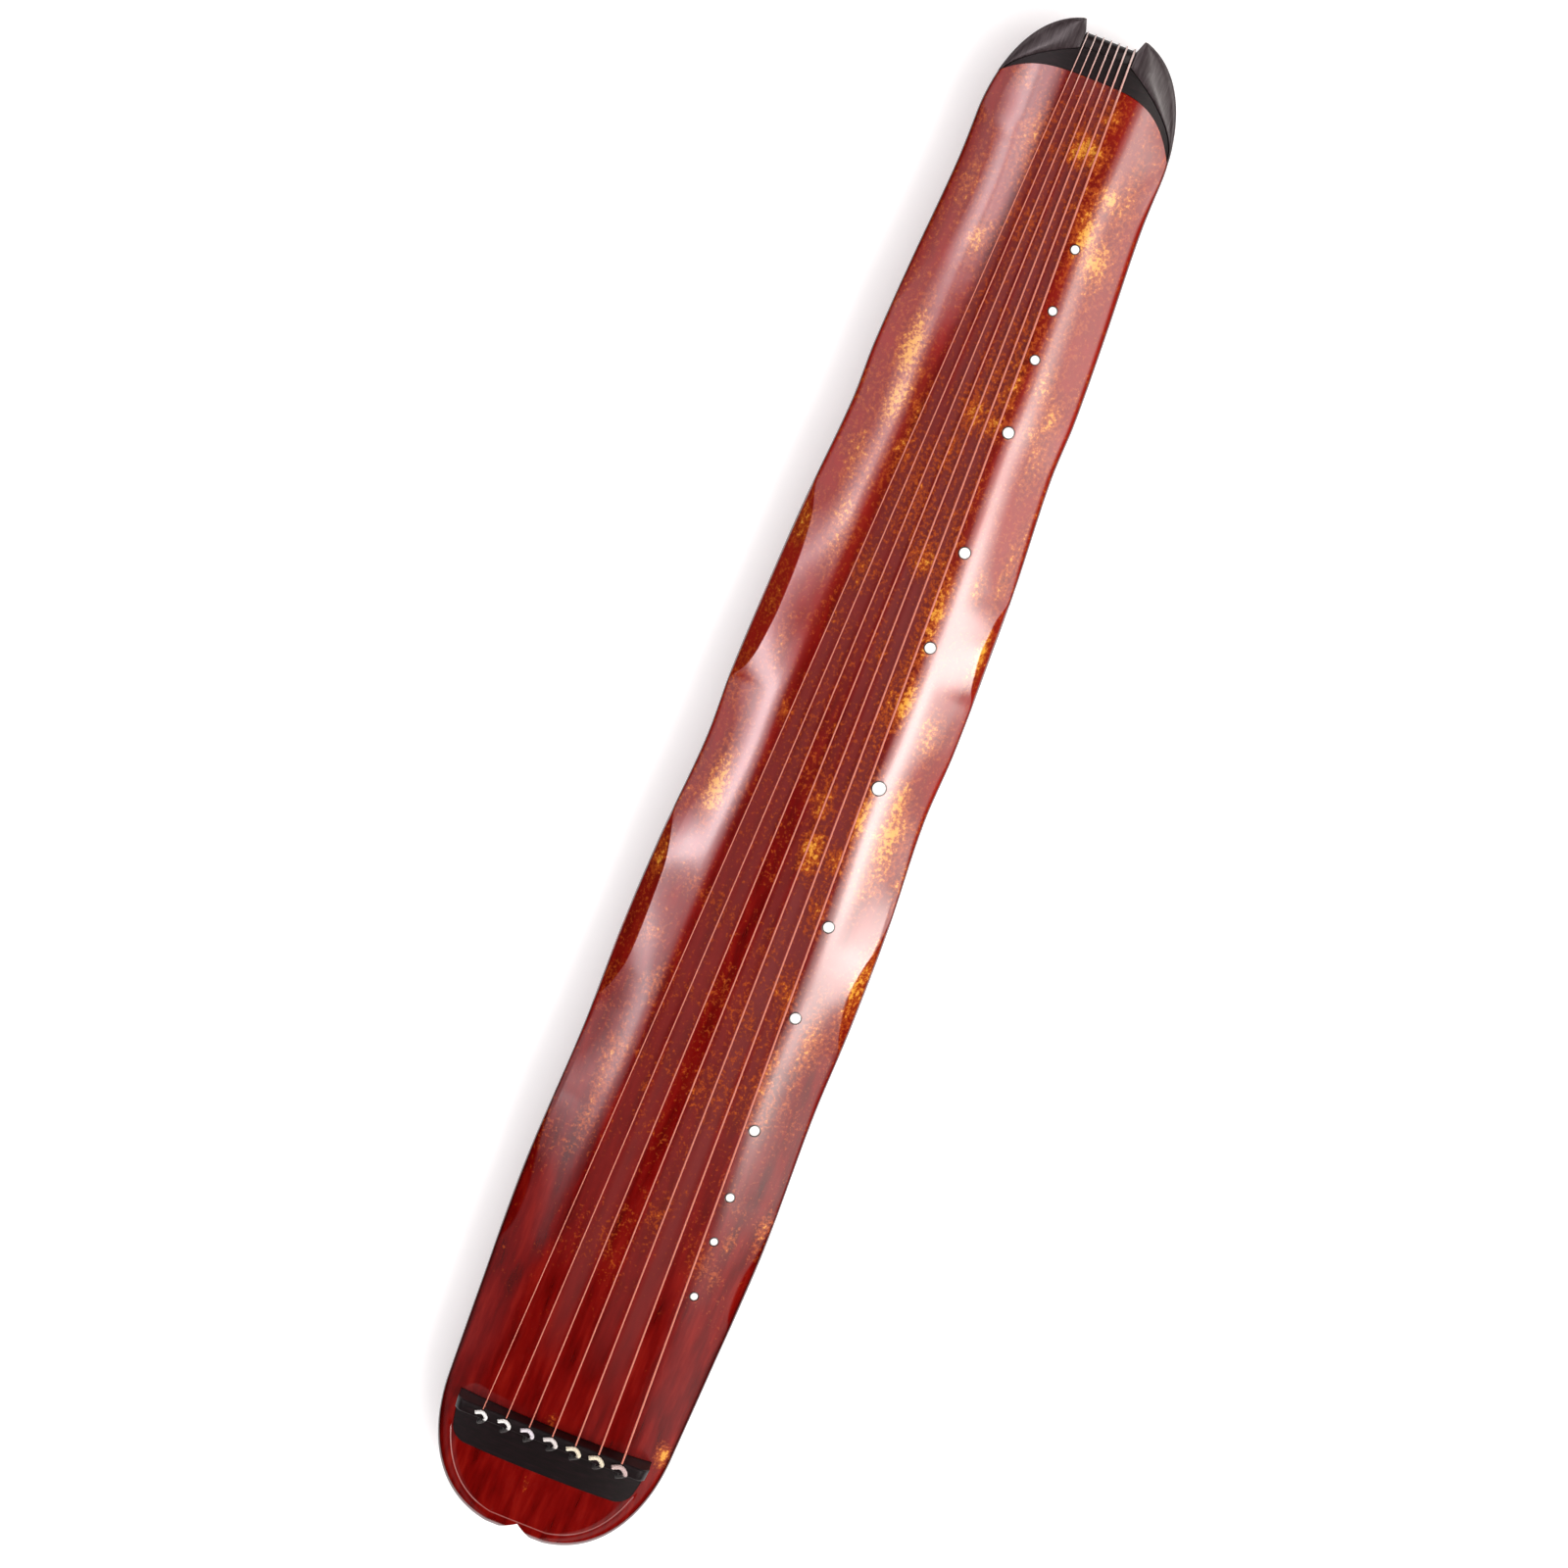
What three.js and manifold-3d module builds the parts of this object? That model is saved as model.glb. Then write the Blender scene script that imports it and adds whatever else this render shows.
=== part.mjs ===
// A seven-stringed guqin with a banana-leaf outline, in millimetres.
// +X points to the head, +Y to the side of the harmonic studs and +Z up.
// The origin lies on the floor under the middle of the body.

import * as THREE from 'three';
import { mergeVertices } from 'three/addons/utils/BufferGeometryUtils.js';
import Module from 'manifold-3d';

const wasm = await Module();
wasm.setup();

// Lengths along the body
const STRING_LENGTH = 1120;
const HEAD_LENGTH = 96;
const TAIL_LENGTH = 14;
const HEAD_ROUND_LENGTH = 110;
const TAIL_ROUND_LENGTH = 90;

// Widths and heights of the body
const SHOULDER_WIDTH = 196;
const TAIL_WIDTH = 143;
const FOOT_HEIGHT = 26;
const BOTTOM_THICKNESS = 8.7;
const BODY_DEPTH = 48;
const ARCH_DROP = 14.5;
const GAP = 0.3;
const OVERRUN = 12;

// Edge of the top board
const RIM_WIDTH = 5;
const RIM_DROP = 1.8;
const HEAD_RIM_WIDTH = 13;
const HEAD_RIM_DROP = 5.5;
const EDGE_ROUND = 2.2;
const SIDE_TUCK = 1;
const BOTTOM_CHAMFER = 2.5;
const HEAD_NOTCH_WIDTH = 30;
const HEAD_NOTCH_DEPTH = 10;

// Folds carved along the leaf margin
const FOLD_WIDTH = 15.5;
const FOLD_DROP = 7;

// Sound box
const SIDE_WALL = 15;
const TOP_THICKNESS = 14;
const HEAD_BLOCK = 24;
const TAIL_BLOCK = 66;
const SOUND_LIP_WIDTH = 46;
const SOUND_LIP_DEPTH = 7;
const SOUND_LIP_MARGIN = 14;
const SOUND_LIP_SLOPE = 6;
const DRAGON_POOL_LENGTH = 210;
const PHOENIX_POND_LENGTH = 106;
const SOUND_HOLE_WIDTH = 28;
const ROUND_POST_DIAMETER = 16;
const SQUARE_POST_WIDTH = 14;

// Bridge and the plate behind it
const BRIDGE_THICKNESS = 10;
const BRIDGE_RISE = 14.7;
const BRIDGE_ROUND = 1.6;
const BRIDGE_END_RISE = 17;
const BAR_MARGIN = 13.5;
const BAR_SINK = 4;
const PLATE_LENGTH = 30;
const PLATE_CORNER = 10;
const PLATE_PROUD = 0.8;

// Tail nut, its support, the tail plate and the wings
const NUT_ROUND = 5.6;
const NUT_THICKNESS = 10.6;
const NUT_RISE = 1.2;
const NUT_SIDE_MARGIN = 1.4;
const SUPPORT_ROUND = 4;
const INLAY_FLOOR = 9;
const TAIL_PLATE_LENGTH = 24;
const OUTER_HORN_LENGTH = 32;
const INNER_HORN_LENGTH = 18;
const OUTER_WING_LENGTH = 49;
const INNER_WING_LENGTH = 37;
const WING_ROOT_WIDTH = 34;
const WING_END_WIDTH = 1.5;
const WING_RISE = 2.6;
const WING_SWELL = 1.4;
const WING_TIP_FLARE = 3;
const TAIL_PLATE_PROUD = 0.3;

// Strings, cords and knots
const BRIDGE_SPACING = 19.1;
const NUT_SPACING = 5.95;
const THICK_STRING = 1.5;
const THIN_STRING = 0.8;
const THICK_KNOT = 3.9;
const THIN_KNOT = 3.1;
const LONG_KNOT_ARM = 6.6;
const SHORT_KNOT_ARM = 5.2;
const KNOT_SET_BACK = 2.9;
const CORD_THICKNESS = 2.5;
const CORD_HOLE = 4;
const CORD_HOLE_SET_BACK = 5.5;

// Pegs and their pool
const POOL_DEPTH = 15;
const POOL_LENGTH = 30;
const POOL_END_MARGIN = 10;
const PEG_LENGTH = 38;
const PEG_HEAD_DIAMETER = 11.4;
const PEG_HEAD_HEIGHT = 3;
const PEG_WAIST_DIAMETER = 6.8;
const PEG_WAIST_HEIGHT = 11.6;
const PEG_NECK_DIAMETER = 9;
const PEG_FOOT_DIAMETER = 12;
const PEG_BORE = 3;
const PEG_CORD_THICKNESS = 1.9;
const PEG_CORD_BEND = 1.9;

// Goose feet and peg guards
const FOOT_SPREAD = 92;
const FOOT_DIAMETER = 28;
const FOOT_BASE_HEIGHT = 4;
const FOOT_FLARE_HEIGHT = 3;
const FOOT_WAIST_DIAMETER = 19;
const FOOT_FLANGE_DIAMETER = 24;
const FOOT_FLANGE_HEIGHT = 2.2;
const TENON_WIDTH = 15;
const TENON_HEIGHT = 8;
const TURN_GAP = 0.5;
const TURN_CLEARANCE = 0.6;
const GUARD_LENGTH = 34;
const GUARD_THICKNESS = 12;
const GUARD_CORNER = 3;
const GUARD_PEG_GAP = 4;
const GUARD_TENON_LENGTH = 18;
const GUARD_TENON_THICKNESS = 6;

// Studs
const LARGEST_STUD = 10;
const STUD_THICKNESS = 2;
const STUD_PROUD = 0.1;
const STUD_SET_OUT = 8.6;

// Counts
const STRING_COUNT = 7;
const OUTER_FOOT_STRING_COUNT = 4;
const STRING_SIDES = 5;
const CORD_SIDES = 6;
const STUD_SIDES = 12;
const PEG_SIDES = 8;
const FOOT_SIDES = 20;
const BODY_STEPS = 50;
const BOX_STEPS = 22;
const END_STEPS = 9;
const FOOT_TURN_STEPS = 14;
const PEG_TURN_COUNT = 3;
const PEG_TURN_STEPS = 10;
const BEND_STEPS = 4;

// Places along the string, from the bridge, and how full the body is there:
// 0 is the tail's width and 1 the shoulder's
const WIDTH_SHARES = [
  [0.01, 0.81], [0.071, 0.894], [0.164, 1], [0.271, 0.864], [0.343, 0.894],
  [0.41, 0.819], [0.486, 0.619], [0.539, 0.66], [0.615, 0.577], [0.66, 0.494],
  [0.731, 0.291], [0.771, 0.302], [0.829, 0.192], [0.901, 0.011], [0.946, 0.011], [1, 0],
];

// Height of the crown along the string, as a share of the body's depth
const CROWN_SHARES = [
  [-0.086, 0.79], [0, 0.885], [0.06, 0.927], [0.125, 0.969],
  [0.25, 1], [0.5, 0.979], [0.75, 0.958], [1, 0.917],
];

// Height of the arch along the string, as a share of its full drop
const ARCH_SHARES = [[-0.086, 0.6], [0, 0.8], [0.15, 1], [0.8, 1], [1, 0.85]];

// Folds: side of the body, then the shares of the string length at which the
// crisp point and the faded end lie, then the share of the full fold
const FOLD_SHARES = [
  [-1, 0.21, 0.052, 0.9], [-1, 0.435, 0.261, 1], [-1, 0.68, 0.511, 1], [-1, 0.93, 0.796, 0.7],
  [1, 0.184, 0.052, 0.7], [1, 0.397, 0.316, 1], [1, 0.646, 0.574, 1], [1, 0.92, 0.86, 0.6],
];

// Studs: the shares of the string length, and each diameter's share of the largest
const STUD_SHARES = [
  [1 / 8, 0.57], [1 / 6, 0.57], [1 / 5, 0.64], [1 / 4, 0.77], [1 / 3, 0.8], [2 / 5, 0.8],
  [1 / 2, 1], [3 / 5, 0.8], [2 / 3, 0.8], [3 / 4, 0.8], [4 / 5, 0.64], [5 / 6, 0.6], [7 / 8, 0.6],
];

const HEAD_BLUNT_SHARE = 1.0136;
const TAIL_BLUNT_SHARE = 1.033;
const HEAD_CURVE_SHARE = 2.2;
const TAIL_CURVE_SHARE = 2.1;
const END_CURVE_SHARE = 2.6;
const ARCH_CURVE_SHARE = 2.6;
const FOLD_PEAK_SHARE = 0.6;
const NOTCH_CURVE_SHARE = 1.2;
const NOTCH_SHARES = [-1, -0.75, -0.5, -0.25, 0, 0.25, 0.5, 0.75, 1];
const WING_CURVE_SHARE = 1.65;
const HORN_CURVE_SHARE = 3.6;
const HORN_REACH_SHARE = 0.95;
const EDGE_REACH_SHARE = 0.6;
const SLOPE_STEP_SHARE = 0.0005;
const INNER_SHARES = [0, 0.33, 0.62, 0.86];
const EDGE_SHARES = [0.6, 0.25];
const SLAB_SHARES = [-1, -0.95, -0.86, -0.7, -0.4, 0, 0.4, 0.7, 0.86, 0.95, 1];
const BRIDGE_SLOPE_SHARE = 0.92;
const ROUND_POST_SHARE = 0.225;
const SQUARE_POST_SHARE = 0.56;
const DRAGON_POOL_SHARE = 0.375;
const PHOENIX_POND_SHARE = 0.8125;
const FOOT_PLACE_SHARE = 0.708;
const FOOT_TURN_SHARE = 1.75;
const KNOT_ROUTE_SHARES = [
  [0.45, -0.92], [0.2, -0.45], [0.02, -0.08], [0.22, 0.22], [0.6, 0.46], [0.92, 0.52],
];
const CORD_DROP_SHARES = [
  [0.66, 0.42, -0.06], [0.875, 0.16, 0.27], [0.98, 0.03, 0.43], [1, 0, 0.5],
];
const KNOT_WIDTH_SHARES = [1, 1, 1, 1, 1, 0.7, 0.3, 0, 0, 0, 0];
const GUARD_SHARES = [[0, 0.8], [0.2, 0.84], [0.6, 0.74], [0.88, 0.92], [1, 1]];

// Places along the body that the lengths give
const X_HEAD = (HEAD_LENGTH + STRING_LENGTH + TAIL_LENGTH) / 2;
const X_TAIL = -X_HEAD;
const X_BRIDGE = X_HEAD - HEAD_LENGTH;
const X_NUT = X_BRIDGE - STRING_LENGTH;
const X_END = X_NUT - NUT_ROUND;
const X_NUT_FOOT = X_END + NUT_THICKNESS;
const X_BRIDGE_BACK = X_BRIDGE + BRIDGE_THICKNESS;
const X_PLATE_END = X_BRIDGE_BACK + PLATE_LENGTH;
const X_CORD_HOLE = X_BRIDGE_BACK + CORD_HOLE_SET_BACK;
const X_FOOT = X_BRIDGE - FOOT_PLACE_SHARE * STRING_LENGTH;

// Heights that the sizes give
const Z_BOTTOM_TOP = FOOT_HEIGHT + BOTTOM_THICKNESS;
const Z_SEAM = Z_BOTTOM_TOP + GAP;
const Z_INLAY = Z_SEAM + INLAY_FLOOR;
const Z_POOL_ROOF = FOOT_HEIGHT + POOL_DEPTH;
const Z_ABOVE = FOOT_HEIGHT + BODY_DEPTH + OVERRUN;
const NUT_HALF = ((STRING_COUNT - 1) / 2) * NUT_SPACING + NUT_SIDE_MARGIN;

const between = (a, b, share) => a + (b - a) * share;
const limit = (value, low, high) => Math.min(Math.max(value, low), high);
const along = (share) => X_BRIDGE - share * STRING_LENGTH;
const shareAt = (x) => (X_BRIDGE - x) / STRING_LENGTH;

// A smooth curve through a table of places and values
function ease(table, at) {
  const last = table.length - 1;
  if (at <= table[0][0]) {
    return table[0][1];
  }
  if (at >= table[last][0]) {
    return table[last][1];
  }
  const i = table.findIndex(([place]) => place > at) - 1;
  const slope = (a, b) => (table[b][1] - table[a][1]) / (table[b][0] - table[a][0]);
  const span = table[i + 1][0] - table[i][0];
  const t = (at - table[i][0]) / span;
  const leave = slope(Math.max(i - 1, 0), i + 1) * span;
  const arrive = slope(i, Math.min(i + 2, last)) * span;
  const rise = table[i + 1][1] - table[i][1];
  const curve = (3 - 2 * t) * t * t * rise;
  return table[i][1] + curve + (t - 1) * (t - 1) * t * leave + (t - 1) * t * t * arrive;
}

// Plan of the body

function bodyHalf(x) {
  return between(TAIL_WIDTH, SHOULDER_WIDTH, ease(WIDTH_SHARES, shareAt(x))) / 2;
}

function endRound(distance, length, blunt, curve) {
  const t = limit(distance / (length * blunt), 0, 1);
  return (1 - t ** curve) ** (1 / END_CURVE_SHARE);
}

function outline(x) {
  const pastHead = x - (X_HEAD - HEAD_ROUND_LENGTH);
  const pastTail = X_TAIL + TAIL_ROUND_LENGTH - x;
  const head = endRound(pastHead, HEAD_ROUND_LENGTH, HEAD_BLUNT_SHARE, HEAD_CURVE_SHARE);
  const tail = endRound(pastTail, TAIL_ROUND_LENGTH, TAIL_BLUNT_SHARE, TAIL_CURVE_SHARE);
  return bodyHalf(x) * head * tail;
}

// How squarely the outline faces sideways at x, from 1 down to 0 at the ends
function facing(x) {
  const step = SLOPE_STEP_SHARE * STRING_LENGTH;
  const low = limit(x - step, X_TAIL, X_HEAD);
  const high = limit(x + step, X_TAIL, X_HEAD);
  return 1 / Math.hypot(1, (outline(high) - outline(low)) / (high - low));
}

// Upper surface of the top board

const headNearness = (x) => limit(1 - (X_HEAD - x) / HEAD_ROUND_LENGTH, 0, 1);
const rimWidth = (x) => between(RIM_WIDTH, HEAD_RIM_WIDTH, headNearness(x));
const rimDrop = (x) => between(RIM_DROP, HEAD_RIM_DROP, headNearness(x));
const crown = (x) => FOOT_HEIGHT + BODY_DEPTH * ease(CROWN_SHARES, shareAt(x));

function surface(x, y) {
  const off = Math.abs(y);
  const reach = limit(off / bodyHalf(x), 0, 1);
  const inset = (outline(x) - off) * facing(x);
  const rim = limit(1 - inset / rimWidth(x), 0, 1);
  const arch = ARCH_DROP * ease(ARCH_SHARES, shareAt(x)) * reach ** ARCH_CURVE_SHARE;
  return crown(x) - arch - rimDrop(x) * rim * rim;
}

// Share of the full fold on one side at x: a crisp start, then a slow fade
function foldAt(x, side) {
  const s = shareAt(x);
  let most = 0;
  for (const [foldSide, tip, fade, size] of FOLD_SHARES) {
    const t = (tip - s) / (tip - fade);
    if (foldSide === side && t > 0 && t < 1) {
      most = Math.max(most, size * Math.sin(Math.PI * t ** FOLD_PEAK_SHARE));
    }
  }
  return most;
}

// Half a cross-section of the top board, from the middle out and down to the seam
function topHalfSection(x, side) {
  const half = outline(x);
  const fold = foldAt(x, side);
  const wide = Math.max(fold * FOLD_WIDTH, rimWidth(x)) / facing(x);
  const reach = Math.min(wide, half * EDGE_REACH_SHARE);
  const crease = half - reach;
  const sunk = (y) => surface(x, y) - (fold * FOLD_DROP * (y - crease)) / reach;
  const points = INNER_SHARES.map((share) => [crease * share, surface(x, crease * share)]);
  points.push([crease, surface(x, crease)]);
  for (const share of EDGE_SHARES) {
    points.push([half - reach * share, sunk(half - reach * share)]);
  }
  const edge = sunk(half);
  points.push([half - EDGE_ROUND / 2, edge - EDGE_ROUND / 4]);
  points.push([half, edge - EDGE_ROUND]);
  points.push([half - SIDE_TUCK, Z_SEAM]);
  return points.map(([y, z]) => [x, side * y, z]);
}

// Solids from points

function geometryFrom(points, triangles) {
  const geometry = new THREE.BufferGeometry();
  geometry.setAttribute('position', new THREE.Float32BufferAttribute(points.flat(), 3));
  geometry.setIndex(triangles.flat());
  return geometry;
}

// Skin over a row of rings with matching points, closed at both ends. The ends
// join each point to the one that mirrors it in the ring.
function loft(rings) {
  const count = rings[0].length;
  const triangles = [];
  const quad = (a, b, c, d) => triangles.push([a, b, c], [a, c, d]);
  for (let row = 0; row < rings.length - 1; row += 1) {
    for (let i = 0; i < count; i += 1) {
      const next = (i + 1) % count;
      const here = row * count;
      quad(here + i, here + next, here + count + next, here + count + i);
    }
  }
  const end = (rings.length - 1) * count;
  for (let i = 0; i < Math.floor((count - 1) / 2); i += 1) {
    const mirror = count - 1 - i;
    const middle = i + 1 === mirror - 1;
    triangles.push([mirror, i + 1, i]);
    triangles.push([end + i, end + i + 1, end + mirror]);
    if (!middle) {
      triangles.push([mirror, mirror - 1, i + 1]);
      triangles.push([end + i + 1, end + mirror - 1, end + mirror]);
    }
  }
  return outward(geometryFrom(rings.flat(), triangles));
}

// Turns every face over if the solid is inside out
function outward(geometry) {
  const p = geometry.getAttribute('position');
  const index = geometry.getIndex();
  const corner = [new THREE.Vector3(), new THREE.Vector3(), new THREE.Vector3()];
  let volume = 0;
  for (let i = 0; i < index.count; i += 3) {
    corner.forEach((v, k) => v.fromBufferAttribute(p, index.getX(i + k)));
    volume += corner[0].dot(corner[1].cross(corner[2]));
  }
  if (volume < 0) {
    for (let i = 0; i < index.count; i += 3) {
      const first = index.getX(i);
      index.setX(i, index.getX(i + 2));
      index.setX(i + 2, first);
    }
  }
  return geometry;
}

// Solid between a lower and an upper surface, over |y| up to half(x)
function slab(places, half, low, high, shares = SLAB_SHARES) {
  return loft(places.map((x) => {
    const ys = shares.map((share) => share * half(x, Math.sign(share)));
    const over = ys.map((y) => [x, y, high(x, y)]);
    const under = ys.map((y) => [x, y, low(x, y)]).reverse();
    return [...over, ...under];
  }));
}

// Tube along a row of points; the radius may change from point to point
function tube(path, radius, sides) {
  const points = path.map((p) => new THREE.Vector3(...p));
  const count = points.length;
  const tangent = points.map((p, i) => {
    const before = points[Math.max(i - 1, 0)];
    const after = points[Math.min(i + 1, count - 1)];
    const arrive = p.clone().sub(before).normalize();
    const leave = after.clone().sub(p).normalize();
    return arrive.add(leave).normalize();
  });
  const start = Math.abs(tangent[0].z) > Math.SQRT1_2 ? [1, 0, 0] : [0, 0, 1];
  const across = new THREE.Vector3(...start);
  const rings = points.map((p, i) => {
    across.addScaledVector(tangent[i], -across.dot(tangent[i])).normalize();
    const other = tangent[i].clone().cross(across);
    const r = Array.isArray(radius) ? radius[i] : radius;
    const ring = [];
    for (let k = 0; k < sides; k += 1) {
      const angle = (2 * Math.PI * k) / sides;
      const point = p.clone();
      point.addScaledVector(across, r * Math.cos(angle));
      point.addScaledVector(other, r * Math.sin(angle));
      ring.push(point.toArray());
    }
    return ring;
  });
  return loft(rings);
}

// Upright prism over a plan, and one along Y over a side view
function uprightPrism(plan, low, high) {
  const shape = new THREE.Shape(plan.map(([x, y]) => new THREE.Vector2(x, y)));
  const geometry = new THREE.ExtrudeGeometry(shape, { depth: high - low, bevelEnabled: false });
  return geometry.translate(0, 0, low);
}

function crosswisePrism(side, low, high) {
  const shape = new THREE.Shape(side.map(([x, z]) => new THREE.Vector2(x, z)));
  const geometry = new THREE.ExtrudeGeometry(shape, { depth: high - low, bevelEnabled: false });
  return geometry.rotateX(Math.PI / 2).translate(0, high, 0);
}

// Points on an arc, in degrees, both ends included
function arc(x, y, radius, from, to, steps) {
  const points = [];
  for (let i = 0; i <= steps; i += 1) {
    const angle = THREE.MathUtils.degToRad(between(from, to, i / steps));
    points.push([x + radius * Math.cos(angle), y + radius * Math.sin(angle)]);
  }
  return points;
}

// Long slot with rounded ends, along X or along Y
function slotPlan(x, y, length, width, crosswise) {
  const shift = (length - width) / 2;
  const steps = BEND_STEPS;
  if (crosswise) {
    return [
      ...arc(x, y + shift, width / 2, 0, 180, steps),
      ...arc(x, y - shift, width / 2, 180, 360, steps),
    ];
  }
  return [
    ...arc(x + shift, y, width / 2, -90, 90, steps),
    ...arc(x - shift, y, width / 2, 90, 270, steps),
  ];
}

// Circle in plan
function circlePlan(x, y, radius, sides) {
  return arc(x, y, radius, 0, 360, sides).slice(0, sides);
}

// Box between two corners
function block(low, high) {
  const [x, y, z] = high.map((value, i) => value - low[i]);
  const geometry = new THREE.BoxGeometry(x, y, z);
  return geometry.translate(low[0] + x / 2, low[1] + y / 2, low[2] + z / 2);
}

// Closed solid for joining and cutting
function solid(geometry) {
  geometry.deleteAttribute('normal');
  geometry.deleteAttribute('uv');
  const merged = mergeVertices(geometry);
  return new wasm.Manifold(new wasm.Mesh({
    numProp: 3,
    vertProperties: Float32Array.from(merged.getAttribute('position').array),
    triVerts: Uint32Array.from(merged.getIndex().array),
  }));
}

function cut(body, tools) {
  return tools.reduce((rest, tool) => rest.subtract(solid(tool)), body);
}

function shapeOf(body) {
  const mesh = body.getMesh();
  const geometry = new THREE.BufferGeometry();
  const position = new THREE.Float32BufferAttribute(mesh.vertProperties, mesh.numProp);
  geometry.setAttribute('position', position);
  geometry.setIndex(new THREE.Uint32BufferAttribute(mesh.triVerts, 1));
  return geometry;
}

// Finishes
const finish = (color, roughness, metalness = 0) => (
  new THREE.MeshStandardMaterial({ color, roughness, metalness })
);
const LACQUER = finish(0x8a1f16, 0.25);
const ROSEWOOD = finish(0x1d1211, 0.35);
const WING_WOOD = finish(0x43302f, 0.35);
const SHELL = finish(0xf0ece2, 0.2);
const SILK_CORD = finish(0xeae4d4, 0.7);
const STRING_SILK = finish(0xd9a795, 0.45);
const BARE_WOOD = finish(0x9c6b3f, 0.7);

const guqin = new THREE.Group();

function place(name, geometry, material) {
  geometry.computeVertexNormals();
  const mesh = new THREE.Mesh(geometry, material);
  mesh.name = name;
  guqin.add(mesh);
}

// Places of the cross-sections: close together at the rounded ends, with one
// at the crisp point of each fold
function bodyPlaces(bodySteps, endSteps) {
  const places = [];
  for (let i = 0; i <= endSteps; i += 1) {
    const inward = 1 - Math.cos((Math.PI / 2) * (i / endSteps));
    places.push(X_HEAD - HEAD_ROUND_LENGTH * inward, X_TAIL + TAIL_ROUND_LENGTH * inward);
  }
  const low = X_TAIL + TAIL_ROUND_LENGTH;
  const high = X_HEAD - HEAD_ROUND_LENGTH;
  const step = (high - low) / bodySteps;
  for (let i = 1; i < bodySteps; i += 1) {
    places.push(low + i * step);
  }
  const tips = FOLD_SHARES.map(([, tip]) => along(tip));
  const clear = places.filter((x) => tips.every((tip) => Math.abs(tip - x) > step / 3));
  const ends = [X_HEAD, X_TAIL];
  return [...new Set([...ends, ...clear, ...tips])].sort((a, b) => a - b);
}

// Cuts that the two boards share

const tailGapPlan = [
  [X_TAIL - OVERRUN, -NUT_HALF - GAP - WING_TIP_FLARE],
  [X_TAIL, -NUT_HALF - GAP - WING_TIP_FLARE],
  [X_END, -NUT_HALF - GAP],
  [X_NUT_FOOT + GAP, -NUT_HALF - GAP],
  [X_NUT_FOOT + GAP, NUT_HALF + GAP],
  [X_END, NUT_HALF + GAP],
  [X_TAIL, NUT_HALF + GAP + WING_TIP_FLARE],
  [X_TAIL - OVERRUN, NUT_HALF + GAP + WING_TIP_FLARE],
];

const notchCurve = NOTCH_SHARES.map((share) => [
  X_HEAD - HEAD_NOTCH_DEPTH * (1 - Math.abs(share)) ** NOTCH_CURVE_SHARE,
  (share * HEAD_NOTCH_WIDTH) / 2,
]);
const notchPlan = [
  [X_HEAD + OVERRUN, -HEAD_NOTCH_WIDTH / 2],
  ...notchCurve,
  [X_HEAD + OVERRUN, HEAD_NOTCH_WIDTH / 2],
];

const peggedSpan = (STRING_COUNT - 1) * BRIDGE_SPACING;
const poolPlan = slotPlan(
  X_CORD_HOLE, 0, peggedSpan + PEG_FOOT_DIAMETER + POOL_END_MARGIN, POOL_LENGTH, true,
);
const bridgeY = (k) => ((STRING_COUNT - 1) / 2 - k) * BRIDGE_SPACING;
const nutY = (k) => ((STRING_COUNT - 1) / 2 - k) * NUT_SPACING;
const eachString = Array.from({ length: STRING_COUNT }, (_, k) => k);

// Bar of the bridge and its plate, let into the top board

const barHalf = (x) => outline(x) - BAR_MARGIN;
const bridgeTop = crown(X_BRIDGE) + BRIDGE_RISE;

function roundedBarHalf(x) {
  const past = limit(x - (X_PLATE_END - PLATE_CORNER), 0, PLATE_CORNER);
  return barHalf(x) - PLATE_CORNER + Math.sqrt(PLATE_CORNER ** 2 - past ** 2);
}

// Places of the bar's cross-sections, from a start to the rounded corners
function barPlaces(start) {
  const straight = X_PLATE_END - PLATE_CORNER;
  const places = [];
  for (let i = 0; i < BEND_STEPS; i += 1) {
    places.push(between(start, straight, i / BEND_STEPS));
  }
  const corner = arc(straight, 0, PLATE_CORNER, 90, 0, BEND_STEPS + 1);
  return [...places, ...corner.map(([x]) => x)];
}

function barRecess() {
  return slab(
    [X_BRIDGE - GAP, ...barPlaces(X_BRIDGE).map((x) => x + GAP)],
    (x) => roundedBarHalf(Math.max(x - GAP, X_BRIDGE)) + GAP,
    (x, y) => surface(x, y) - BAR_SINK - GAP,
    () => bridgeTop + OVERRUN,
  );
}

function bridgeHigh(x, y) {
  const inward = Math.min(x - X_BRIDGE, X_BRIDGE_BACK - GAP - x);
  const worn = limit(1 - inward / BRIDGE_ROUND, 0, 1);
  const off = Math.abs(y) / barHalf(x);
  const fallen = limit((off - BRIDGE_SLOPE_SHARE) / (1 - BRIDGE_SLOPE_SHARE), 0, 1);
  const end = surface(x, y) + BRIDGE_END_RISE;
  return between(bridgeTop, end, fallen * fallen) - worn * worn * BRIDGE_ROUND;
}

function bridge() {
  const back = X_BRIDGE_BACK - GAP;
  const places = [
    X_BRIDGE, X_BRIDGE + BRIDGE_ROUND / 2, X_BRIDGE + BRIDGE_ROUND,
    back - BRIDGE_ROUND, back - BRIDGE_ROUND / 2, back,
  ];
  return slab(places, barHalf, (x, y) => surface(x, y) - BAR_SINK, bridgeHigh);
}

function bridgePlate() {
  const plate = slab(
    barPlaces(X_BRIDGE_BACK),
    roundedBarHalf,
    (x, y) => surface(x, y) - BAR_SINK,
    (x, y) => surface(x, y) + PLATE_PROUD,
  );
  return shapeOf(cut(solid(plate), cordHoles()));
}

function cordHoles() {
  return eachString.map((k) => uprightPrism(
    circlePlan(X_CORD_HOLE, bridgeY(k), CORD_HOLE / 2, PEG_SIDES), Z_SEAM, Z_ABOVE,
  ));
}

// Tail inlay: all that lies beyond the rounded end of the lacquer

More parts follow.
